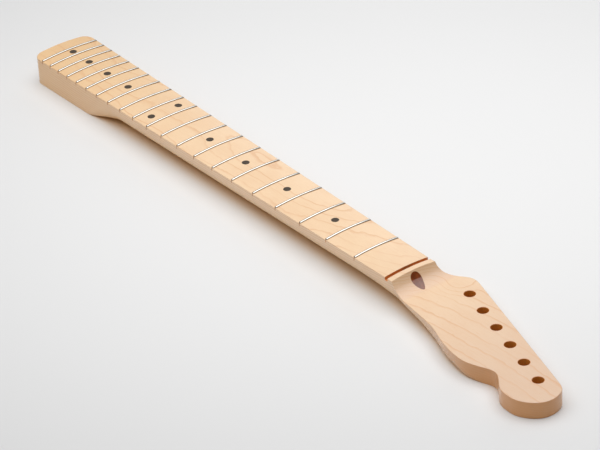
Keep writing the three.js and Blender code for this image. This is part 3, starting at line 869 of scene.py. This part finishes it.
def walnut_plug():
    """Rings along the bore. Up to the nut slot's far wall they end at its floor, and the last
    ones shrink over the cove's own surface, x = cove_place(z)."""
    radius = plug_radius - walnut_clearance
    angle = np.arange(72) / 72 * 2 * math.pi
    y, z = radius * np.cos(angle), rod_head_height + radius * np.sin(angle)
    slot_floor = blank_thickness - nut_slot_depth
    shaved = np.minimum(z, slot_floor)
    rings = []
    for x, height in ((plug_heel_x, shaved), (nut_slot_width, shaved), (nut_slot_width, z)):
        rings.append(np.column_stack([np.full(len(angle), x), y, height]))
    for share in plug_ring_shares:
        height = rod_head_height + (z - rod_head_height) * share
        rings.append(np.column_stack([cove_place(height), y * share, height]))
    return mesh_piece("walnut_plug", *tube(np.array(rings)))


def back_surface(x, y):
    """Height of the carved back at a place: the superellipse solved for its depth."""
    start_x = np.minimum(x, 0)
    level = board_height(start_x, shaft_half_width(start_x))
    depth = level - back_height(x)
    power = 1 / section_roundness(x, np.ones_like(x))
    reach = shaft_half_width(x)
    start_share = board_edge_round / depth
    width = reach / (1 - start_share ** power) ** (1 / power)
    return np.maximum(0, level - depth * (1 - (np.abs(y) / width) ** power) ** (1 / power))


def walnut_strip():
    """Rings along the groove: five points that follow the back, and two under the rod."""
    x, half = strip_plan(walnut_clearance)
    across = np.array([-1, -0.5, 0, 0.5, 1, 1, -1])
    y = half[:, None] * across[None]
    station = np.broadcast_to(x[:, None], y.shape)
    top = (rod_height(x) - rod_radius - running_gap)[:, None]
    z = np.where(np.arange(7)[None] < 5, back_surface(station, y), top)
    return mesh_piece("walnut_strip", *tube(np.stack([station, y, z], -1)))


for piece, node in ((walnut_plug(), "head_plug"), (walnut_strip(), "back_strip")):
    piece.data.materials.append(walnut)
    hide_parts(node)
    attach(piece, "neck")
    print(piece.name, len(piece.data.polygons), "faces")

# %% [markdown]
# ## The rod's nut
#
# At the heel a small steel barrel pulls on the rod. A cross is sawn into its end, so that a
# driver's blade finds a slot at every quarter turn. It is turned on a lathe here as well, with
# chamfered edges.

# %% Rod nut
turned_steel = bpy.data.materials.new("turned_steel")
rod_nut_x = heel_end_x + rod_nut_recess
chamfer = 0.5
thread_gap = 0.15
bore_radius = rod_radius + thread_gap
bore_floor = 3.7
barrel_rows = [
    (rod_nut_radius - chamfer, 0), (rod_nut_radius, chamfer), (rod_nut_radius, rod_nut_length - chamfer),
    (rod_nut_radius - chamfer, rod_nut_length), (bore_radius, rod_nut_length), (bore_radius, bore_floor),
]
rod_nut = mesh_piece("rod_adjusting_nut", *turn_about("x", (rod_nut_x, 0, rod_heel_height), barrel_rows, 64))
for _ in range(2):
    rod_nut.data.materials.append(turned_steel)
saw_half, saw_reach, saw_depth = 0.8, rod_nut_radius + overrun, 2.5
cross = [
    ((-overrun, -saw_reach, -saw_half), (saw_depth, saw_reach, saw_half)),
    ((-overrun, -saw_half, -saw_reach), (saw_depth, saw_half, saw_reach)),
]
nut_origin = np.array([rod_nut_x, 0, rod_heel_height])
for low, high in cross:
    cut_away(rod_nut, [box_shape(nut_origin + low, nut_origin + high)])
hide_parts("truss_rod_nut")
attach(rod_nut, "rod_nut")
for node in ("truss_rod", "rod_anchor", "rod_washer"):
    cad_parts[node].data.materials.clear()
    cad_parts[node].data.materials.append(turned_steel)
print("rod nut:", len(rod_nut.data.polygons), "faces")

# %% [markdown]
# ## Finishes from nodes
#
# A finish is a small graph. These helpers keep the graphs readable: `link` makes a node and wires
# its inputs, so that each finish below reads as a list of steps. Patterns read Object coordinates,
# which are metres in the part's frame, so they stay in the wood from every side.

# %% Helpers for node graphs
def start(material):
    """Clears the material and returns its tree and its surface shader."""
    material.use_nodes = True
    tree = material.node_tree
    tree.nodes.clear()
    shader = tree.nodes.new("ShaderNodeBsdfPrincipled")
    output = tree.nodes.new("ShaderNodeOutputMaterial")
    tree.links.new(shader.outputs["BSDF"], output.inputs["Surface"])
    return tree, shader


def link(tree, kind, inputs=None, out=0, **settings):
    """A node with its settings and inputs. An input is a value or another node's output."""
    node = tree.nodes.new("ShaderNode" + kind)
    for name, value in settings.items():
        setattr(node, name, value)
    for key, value in (inputs or {}).items():
        if isinstance(value, bpy.types.NodeSocket):
            tree.links.new(value, node.inputs[key])
        else:
            node.inputs[key].default_value = value
    return node.outputs[out]


def object_place(tree):
    """Object coordinates: metres in the part's frame."""
    return link(tree, "TexCoord", out="Object")


def part_of(tree, vector, axis):
    """One of a vector's three numbers."""
    return link(tree, "SeparateXYZ", {"Vector": vector}, axis)


def stretched(tree, place, scale):
    """Coordinates scaled along each axis. A small scale draws a pattern out along that axis."""
    return link(tree, "Mapping", {"Vector": place, "Scale": scale})


def noise(tree, place, scale, fineness, detail, roughness):
    """Soft noise around a half, with a scale of its own along each axis."""
    place = stretched(tree, place, scale)
    inputs = {"Vector": place, "Scale": fineness, "Detail": detail, "Roughness": roughness}
    return link(tree, "TexNoise", inputs, "Fac")


def blend_colours(tree, share, first, second):
    """Mixes two colours, each a plain colour or an output."""
    def wired(colour):
        return colour if isinstance(colour, bpy.types.NodeSocket) else (*colour, 1.0)
    inputs = {0: share, 6: wired(first), 7: wired(second)}
    return link(tree, "Mix", inputs, 2, data_type="RGBA")


def sums(tree, operation, first, second=0.0, third=0.0):
    """One step of arithmetic."""
    return link(tree, "Math", {0: first, 1: second, 2: third}, operation=operation)


def product(tree, first, second):
    """Two numbers multiplied."""
    return sums(tree, "MULTIPLY", first, second)


def ramp(tree, value, low, high, to_low=0.0, to_high=1.0):
    """A smooth step from one value to another, while the input goes from low to high."""
    inputs = {"Value": value, "From Min": low, "From Max": high, "To Min": to_low, "To Max": to_high}
    return link(tree, "MapRange", inputs, interpolation_type="SMOOTHSTEP")


def wire_surface(tree, shader, colour, roughness, relief=None, strength=0.0, depth=0.0):
    """Wires a colour, a roughness and, if there is a relief, a bump of this depth in metres."""
    tree.links.new(colour, shader.inputs["Base Color"])
    tree.links.new(roughness, shader.inputs["Roughness"])
    if relief is not None:
        bump = link(tree, "Bump", {"Height": relief, "Strength": strength, "Distance": depth})
        tree.links.new(bump, shader.inputs["Normal"])


def lacquer(shader, body_shine, index, roughness):
    """A clear coat with its own index of refraction, over a body that shines less by itself."""
    shader.inputs["Specular IOR Level"].default_value = body_shine
    shader.inputs["Coat Weight"].default_value = 1.0
    shader.inputs["Coat IOR"].default_value = index
    shader.inputs["Coat Roughness"].default_value = roughness


# %% [markdown]
# ## Maple
#
# Hard maple is pale, with a thin reddish line where each year's growth ended, fine fibres along the
# neck and soft clouds of pink and yellow. This blank was sawn flat, so the layers lie almost level:
# the face cuts them at a low angle into long lines far apart, the sides cut them into close thin
# ones, and the cove cuts them into contour lines. A solid pattern does the same here: the height
# above a tilted, gently waving layer, divided by the layer's thickness. The wood is a little
# browner at the heel, and pinker at the head, where it is also painted darker as shade. Its walls
# near the head and its cove are painted darker than its face as shade over their grain, and the
# faces that look down get a painted warm bounce.

# %% Growth layers
# A ramp is where it starts and ends, then its values there, which are 0 and 1 if none are given. A
# pattern is its scale along each axis, then its fineness, detail and roughness.
layer_thickness = 0.00215
layer_phase = 0.62
layer_tilt_ramp = (-0.15, 0.0, 0.12, 0.185)
board_lift_ramp = (-0.13, 0.02, 0.008, 0.0)
head_slope, head_curve = 0.24, 0.8
wave_pattern, wave_height_ramp = ((0.35, 1.0, 1.0), 22.0, 1.0, 0.5), (-0.06, 0.03, 0.010, 0.0015)
jitter_pattern, jitter_height = ((0.5, 1.0, 1.0), 150.0, 2.0, 0.5), 0.001
dip_centre, dip_ramp = (nut_x * mm + 0.030, 0.0225, 0.0), (0.0, 0.022, 0.0042, 0.0)
line_ramp, line_sharpness = (0.70, 0.96), 2.5
band_ramp, fall_ramp = (0.35, 0.9), (0.965, 1.0, 1.0, 0.0)


def growth_lines(tree, place, past_nut):
    """Share of latewood: how many layers up this place is, folded to zero to one, with a thin line
    and a wide band where it wraps round. The layers fall to the far side, and along the head they
    bend as a parabola. One shallow dip in them makes the closed loop beside the cove."""
    head = sums(tree, "MAXIMUM", past_nut, 0.0)
    bend = product(tree, head, sums(tree, "MULTIPLY_ADD", head, head_curve, -head_slope))
    tilt = ramp(tree, past_nut, *layer_tilt_ramp)
    across = sums(tree, "ADD", part_of(tree, place, "Y"), bend)
    level = sums(tree, "MULTIPLY_ADD", tilt, across, part_of(tree, place, "Z"))
    level = sums(tree, "ADD", level, ramp(tree, past_nut, *board_lift_ramp))
    for pattern, height in (
        (wave_pattern, ramp(tree, past_nut, *wave_height_ramp)),
        (jitter_pattern, jitter_height),
    ):
        waves = sums(tree, "SUBTRACT", noise(tree, place, *pattern), 0.5)
        level = sums(tree, "MULTIPLY_ADD", waves, height, level)
    plan = link(tree, "VectorMath", {0: place, 1: (1, 1, 0)}, operation="MULTIPLY")
    reach = link(tree, "VectorMath", {0: plan, 1: dip_centre}, "Value", operation="DISTANCE")
    level = sums(tree, "ADD", level, ramp(tree, reach, *dip_ramp))
    folded = sums(tree, "FRACT", sums(tree, "MULTIPLY_ADD", level, 1 / layer_thickness, layer_phase))
    fall = ramp(tree, folded, *fall_ramp)
    line = sums(tree, "POWER", ramp(tree, folded, *line_ramp), line_sharpness)
    return product(tree, line, fall), product(tree, ramp(tree, folded, *band_ramp), fall)


print("growth layers: %.2f mm thick" % (layer_thickness / mm))

# %% Maple
# Colours by facing: side grain and cove end grain, both with painted shade, and a painted warm bounce.
side_grain_and_shade = (0.60, 0.24, 0.04)
painted_warm_bounce = (0.92, 0.56, 0.18)
end_grain_and_shade = (0.62, 0.36, 0.23)
shaft_ramp, tip_ramp, cut_tip_ramp = (-0.50, -0.22), (-0.06, 0.19), (0.006, 0.03)
lean_ramp, steep_ramp, hollow_ramp = (0.04, 0.25), (0.6, 0.85, 1.0, 0.3), (0.3, 0.6, 0.0, 0.42)
under_ramp = (-0.5, -0.05, 0.3, 0.0)
side_ramp, side_place_ramp = (0.3, 0.8, 1.0, 0.0), (0.02, 0.14, 0.08, 0.8)
band_share = 0.32
cloud_pattern, cloud_ramp = ((0.6, 1.0, 1.0), 55.0, 4.0, 0.55), (0.38, 0.64, 0.0, 0.09)
fibre_pattern, fibre_ramp = ((0.035, 1.0, 1.0), 1500.0, 3.0, 0.6), (0.35, 0.75, 0.0, 0.10)
patch_pattern, patch_ramp = ((0.3, 1.0, 1.0), 45.0, 2.0, 0.5), (0.3, 0.6, 0.35, 1.0)
fleck_pattern, fleck_ramp = ((0.2, 1.0, 1.0), 1100.0, 1.0, 0.5), (0.66, 0.74, 0.0, 0.15)
rough_ramp = (0.3, 0.7, 0.4, 0.5)


def make_maple(material, heel, shaft, tip, tip_from, line, line_share):
    """The body colour goes from heel to shaft to tip; the darker tip is pinker wood and painted shade.
    Faces of the cove lean to end grain with painted shade, the walls near the head to side grain with
    painted shade, and faces that look down to a painted warm bounce. Growth lines, warm clouds,
    fibres and short flecks are blended over it, and a clear lacquer lies on top."""
    tree, shader = start(material)
    place = object_place(tree)
    past_nut = sums(tree, "SUBTRACT", part_of(tree, place, "X"), nut_x * mm)
    colour = blend_colours(tree, ramp(tree, past_nut, *shaft_ramp), heel, shaft)
    colour = blend_colours(tree, ramp(tree, past_nut, *tip_from), colour, tip)
    facing = link(tree, "TexCoord", out="Normal")
    facing_up, facing_tip = part_of(tree, facing, "Z"), part_of(tree, facing, "X")
    # Painted shade on the cove's faces that lean to the tip, over their end grain.
    hollow = product(tree, ramp(tree, facing_tip, *lean_ramp), ramp(tree, facing_tip, *steep_ramp))
    hollow = product(tree, hollow, ramp(tree, facing_up, *hollow_ramp))
    colour = blend_colours(tree, hollow, colour, end_grain_and_shade)
    # Painted warm bounce on faces that look down.
    colour = blend_colours(tree, ramp(tree, facing_up, *under_ramp), colour, painted_warm_bounce)
    side = ramp(tree, sums(tree, "ABSOLUTE", facing_up), *side_ramp)
    thin, wide = growth_lines(tree, place, past_nut)
    colour = blend_colours(tree, product(tree, wide, product(tree, side, band_share)), colour, line)
    # Side grain and painted shade on the walls near the head.
    side = product(tree, side, ramp(tree, past_nut, *side_place_ramp))
    colour = blend_colours(tree, side, colour, side_grain_and_shade)
    cloud = noise(tree, place, *cloud_pattern)
    colour = blend_colours(tree, ramp(tree, cloud, *cloud_ramp), colour, line)
    fibre = noise(tree, place, *fibre_pattern)
    colour = blend_colours(tree, ramp(tree, fibre, *fibre_ramp), colour, line)
    patches = ramp(tree, noise(tree, place, *patch_pattern), *patch_ramp)
    colour = blend_colours(tree, product(tree, product(tree, thin, line_share), patches), colour, line)
    fleck = noise(tree, place, *fleck_pattern)
    colour = blend_colours(tree, ramp(tree, fleck, *fleck_ramp), colour, line)
    rough = ramp(tree, fibre, *rough_ramp)
    wire_surface(tree, shader, colour, rough, fibre, strength=0.04, depth=0.0004)
    lacquer(shader, body_shine=0.2, index=1.57, roughness=0.2)


# The tip colour is pinker wood, painted darker as shade at the head.
face_heel, face_shaft, shaded_face_tip = (0.79, 0.52, 0.265), (0.875, 0.63, 0.40), (0.71, 0.495, 0.34)
# Inside the cuts: bare wood, painted darker and redder as the shade in slots and holes.
bare_shaded_shaft, bare_shaded_tip = (0.67, 0.23, 0.055), (0.60, 0.20, 0.025)
face_line, bare_shaded_line = (0.66, 0.31, 0.12), (0.45, 0.14, 0.02)
make_maple(maple, face_heel, face_shaft, shaded_face_tip, tip_ramp, face_line, line_share=0.45)
make_maple(maple_cut, bare_shaded_shaft, bare_shaded_shaft, bare_shaded_tip, cut_tip_ramp, bare_shaded_line, line_share=0.4)
print("maple:", len(maple.node_tree.nodes), "nodes")

# %% [markdown]
# ## Walnut, nickel silver, black pegs and steel
#
# Walnut is dark and open grained. Nickel silver is a pale, slightly warm metal, polished along
# the fret, so its fine scratches run across the neck. The crown is bare, and at the foot a thin
# brown coat of lacquer is painted darker, as painted shadow where the fret meets the board. The
# pegs are black and a little cloudy. The steel is a plain grey with faint scratches along its
# axis, as on drawn bar.

# %% The other finishes
brown, dark_brown, pore_brown = (0.24, 0.055, 0.012), (0.15, 0.032, 0.007), (0.05, 0.012, 0.004)
streak_pattern, streak_ramp = ((0.04, 1.0, 1.0), 420.0, 4.0, 0.6), (0.3, 0.7)
pore_pattern, pore_ramp = ((0.06, 1.0, 1.0), 1900.0, 1.0, 0.5), (0.6, 0.7, 0.0, 0.6)
# The frets' dark foot colour is lacquer, painted darker as the shadow where a fret meets the board.
silver, dull_silver, lacquer_and_foot_shadow = (0.68, 0.655, 0.61), (0.61, 0.585, 0.54), (0.28, 0.16, 0.085)
steel, dull_steel = (0.52, 0.52, 0.51), (0.38, 0.37, 0.35)
even, along_fret, along_axis = (1.0, 1.0, 1.0), (1.0, 0.06, 1.0), (0.3, 1.0, 1.0)
tarnish_pattern, tarnish_ramp = (even, 90.0, 3.0, 0.5), (0.45, 0.75)
film_and_shadow_ramp = (0.45, 0.8, 0.95, 0.0)
black, dusty_black = (0.042, 0.026, 0.013), (0.056, 0.036, 0.020)
dust_pattern, dust_ramp = (even, 700.0, 4.0, 0.65), (0.35, 0.7)


def make_walnut(material):
    """Long dark streaks and open pores under a glossy coat."""
    tree, shader = start(material)
    place = object_place(tree)
    streak, pore = noise(tree, place, *streak_pattern), noise(tree, place, *pore_pattern)
    colour = blend_colours(tree, ramp(tree, streak, *streak_ramp), brown, dark_brown)
    colour = blend_colours(tree, ramp(tree, pore, *pore_ramp), colour, pore_brown)
    rough = ramp(tree, pore, 0.4, 0.7, 0.35, 0.5)
    wire_surface(tree, shader, colour, rough, pore, strength=0.06, depth=0.0004)
    lacquer(shader, body_shine=0.1, index=1.6, roughness=0.03)


def make_metal(material, light, dark, polish, roughness, film_and_shadow=None):
    """Fine parallel scratches: noise drawn out along the way it was polished. A dark coat, if one is
    given, covers the metal where it turns away from straight up: lacquer, painted darker as shadow."""
    tree, shader = start(material)
    place = object_place(tree)
    scratch = noise(tree, place, polish, 2600.0, 3.0, 0.6)
    tarnish = ramp(tree, noise(tree, place, *tarnish_pattern), *tarnish_ramp)
    colour = blend_colours(tree, tarnish, light, dark)
    shader.inputs["Metallic"].default_value = 1.0
    if film_and_shadow:
        facing_up = part_of(tree, link(tree, "TexCoord", out="Normal"), "Z")
        film_and_shadow_share = ramp(tree, facing_up, *film_and_shadow_ramp)
        colour = blend_colours(tree, film_and_shadow_share, colour, film_and_shadow)
        tree.links.new(sums(tree, "SUBTRACT", 1.0, film_and_shadow_share), shader.inputs["Metallic"])
    rough = ramp(tree, scratch, 0.3, 0.7, *roughness)
    wire_surface(tree, shader, colour, rough, scratch, strength=0.03, depth=0.0002)


def make_peg(material):
    """A faintly cloudy black."""
    tree, shader = start(material)
    dust = noise(tree, object_place(tree), *dust_pattern)
    colour = blend_colours(tree, ramp(tree, dust, *dust_ramp), black, dusty_black)
    wire_surface(tree, shader, colour, ramp(tree, dust, 0.3, 0.7, 0.4, 0.55))


make_walnut(walnut)
make_metal(nickel_silver, silver, dull_silver, along_fret, (0.10, 0.20), lacquer_and_foot_shadow)
make_metal(turned_steel, steel, dull_steel, along_axis, (0.28, 0.45))
make_peg(black_peg)
print("finishes:", [m.name for m in (maple, maple_cut, walnut, nickel_silver, black_peg, turned_steel)])

# %% [markdown]
# ## Camera
#
# The camera's place was worked out from the frets: their spacing is known, so their places in the
# photograph fix where it was taken from. It is a long lens, about 2.4 metres away, turned a little
# about its own axis.

# %% Camera
picture_width, picture_height = 600, 450
camera_place = Vector((1.943939, -1.188763, 1.266044))
look_azimuth, look_elevation = math.radians(144.1618), math.radians(-31.9682)
roll = math.radians(-3.1154)
forward = Vector((
    math.cos(look_elevation) * math.cos(look_azimuth),
    math.cos(look_elevation) * math.sin(look_azimuth),
    math.sin(look_elevation),
))
level = Vector((math.sin(look_azimuth), -math.cos(look_azimuth), 0))
above = level.cross(forward)
right = level * math.cos(roll) + above * math.sin(roll)
up = right.cross(forward)
camera = bpy.data.objects.new("camera", bpy.data.cameras.new("camera"))
camera.data.sensor_width = 36
camera.data.lens = 182.759
camera.data.clip_end = 50
turn = Matrix((right, up, -forward)).transposed().to_4x4()
camera.matrix_world = Matrix.Translation(camera_place) @ turn
bpy.context.scene.collection.objects.link(camera)
bpy.context.scene.camera = camera


def pixel(x, y, z):
    """Where a point past the nut, in millimetres, falls in a 600 by 450 picture."""
    seen = camera.matrix_world.inverted() @ Vector(to_frame([x, y, z])[0])
    focal = camera.data.lens / camera.data.sensor_width * picture_width
    return picture_width / 2 - focal * seen.x / seen.z, picture_height / 2 + focal * seen.y / seen.z


for name, place in (("first tuner hole", tuners[0]), ("last tuner hole", tuners[-1])):
    print(name, "at pixel %.1f, %.1f" % pixel(*place, head_thickness))

# %% [markdown]
# ## Floor and light
#
# The neck lies on white paper under two large flat lights, one over the far side and one over
# the near side. A lit wall stands behind the neck, right of the picture's middle, and further to
# the right the room is dark. The lacquer and the frets mirror the wall and the lights, and past
# their edges they go dark. The paper's colour is painted darker with the square of the distance,
# a painted fall of light, and painted paler again outside the picture, where the lamps reach it
# less. Close to the wood a painted warm shadow darkens it, with a little painted bounce light
# round that.

# %% Floor
floor_half, floor_gap = 6.0, 0.0001
fade_across = 1.21
brightest_place = (0.316, 0.303 * fade_across, 0.0)
floor_height = cad_box[0][2] - floor_gap
square = ((-1, -1), (1, -1), (1, 1), (-1, 1))
floor_corners = [(x * floor_half, y * floor_half, floor_height) for x, y in square]
floor_mesh = bpy.data.meshes.new("floor")
floor_mesh.from_pydata(floor_corners, [], [(0, 1, 2, 3)])
floor = bpy.data.objects.new("floor", floor_mesh)
bpy.context.scene.collection.objects.link(floor)

# Paper colours that paint light: dimmer far from the brightest place, paler again further off, a painted
# warm shadow by the wood and painted bounce light round it.
near_paper, painted_dim_paper, painted_pale_far_paper, far_ramp = (0.811,) * 3, (0.502,) * 3, (0.9,) * 3, (0.8, 1.15)
contact_reach = 0.03
painted_bounce_lift, lift_ramp = (1.08,) * 3, (0.7, 1.0)
painted_contact_shadow, tint_ramp = (0.74, 0.48, 0.22), (0.05, 0.6)
paper = bpy.data.materials.new("white_paper")
tree, shader = start(paper)
# Painted fall of light across the paper.
across = stretched(tree, object_place(tree), (1.0, fade_across, 1.0))
away = link(tree, "VectorMath", {0: across, 1: brightest_place}, "Value", operation="DISTANCE")
painted_falloff = sums(tree, "MINIMUM", sums(tree, "POWER", away, 2.0), 1.0)
white = blend_colours(tree, painted_falloff, near_paper, painted_dim_paper)
white = blend_colours(tree, ramp(tree, away, *far_ramp), white, painted_pale_far_paper)
# Painted warm shadow close to the wood, and painted bounce light round it.
shade = link(tree, "AmbientOcclusion", {"Distance": contact_reach}, "AO", samples=16)
lift = blend_colours(tree, ramp(tree, shade, *lift_ramp), painted_bounce_lift, (1.0, 1.0, 1.0))
lifted = link(tree, "Mix", {0: 1.0, 6: white, 7: lift}, 2, data_type="RGBA", blend_type="MULTIPLY")
tinted = blend_colours(tree, ramp(tree, shade, *tint_ramp), painted_contact_shadow, lifted)
tree.links.new(tinted, shader.inputs["Base Color"])
shader.inputs["Roughness"].default_value = 0.7
shader.inputs["Specular IOR Level"].default_value = 0.2
floor_mesh.materials.append(paper)
print("floor at z = %.4f m" % floor_height)

# %% Light and world
lamp_height = 0.9


def soft_light(name, x, y, size, power):
    """A flat panel of white light over a place on the floor, facing straight down to it."""
    lamp = bpy.data.lights.new(name, "AREA")
    lamp.shape = "RECTANGLE"
    lamp.size, lamp.size_y = size
    lamp.energy = power
    panel = bpy.data.objects.new(name, lamp)
    place, target = Vector((x, y, lamp_height)), Vector((x, y, 0.0))
    aim = (target - place).to_track_quat("-Z", "Y")
    panel.matrix_world = Matrix.Translation(place) @ aim.to_matrix().to_4x4()
    bpy.context.scene.collection.objects.link(panel)


soft_light("back_panel", 0.535, 0.45, (1.17, 0.5), 2.8)
soft_light("front_panel", 0.12, -0.375, (1.1, 1.15), 6.1)

height_ramp = (0.0, 0.6, 0.06, 0.5)
dark_side, dark_ramp = (0.848, 0.53, 0.0), (0.0, 0.6, 1.0, 0.06)
picture_right, wall_start_ramp = (0.581, 0.814, 0.0), (-0.02, 0.07)
wall_end_ramp, wall_height_ramp = (0.4, 0.8, 1.0, 0.0), (0.14, 0.32)
lit_strength, seen_strength = 1.0, 0.9
world = bpy.data.worlds.new("pale_studio")
bpy.context.scene.world = world
world.use_nodes = True
tree = world.node_tree
direction = link(tree, "TexCoord", out="Generated")
height = part_of(tree, direction, "Z")
toward = link(tree, "VectorMath", {0: direction, 1: dark_side}, "Value", operation="DOT_PRODUCT")
walls = product(tree, ramp(tree, height, *height_ramp), ramp(tree, toward, *dark_ramp))
beside = link(tree, "VectorMath", {0: direction, 1: picture_right}, "Value", operation="DOT_PRODUCT")
lit_wall = product(tree, ramp(tree, beside, *wall_start_ramp), ramp(tree, toward, *wall_end_ramp))
lit_wall = product(tree, lit_wall, ramp(tree, height, *wall_height_ramp))
walls = link(tree, "Mix", {0: lit_wall, 2: walls, 3: lit_strength}, 0)
seen = link(tree, "LightPath", out="Is Camera Ray")
strength = link(tree, "Mix", {0: seen, 2: walls, 3: seen_strength}, 0)
sky = tree.nodes["Background"]
sky.inputs["Color"].default_value = (1.0, 1.0, 1.0, 1)
tree.links.new(strength, sky.inputs["Strength"])
bpy.context.scene.view_settings.view_transform = "Standard"
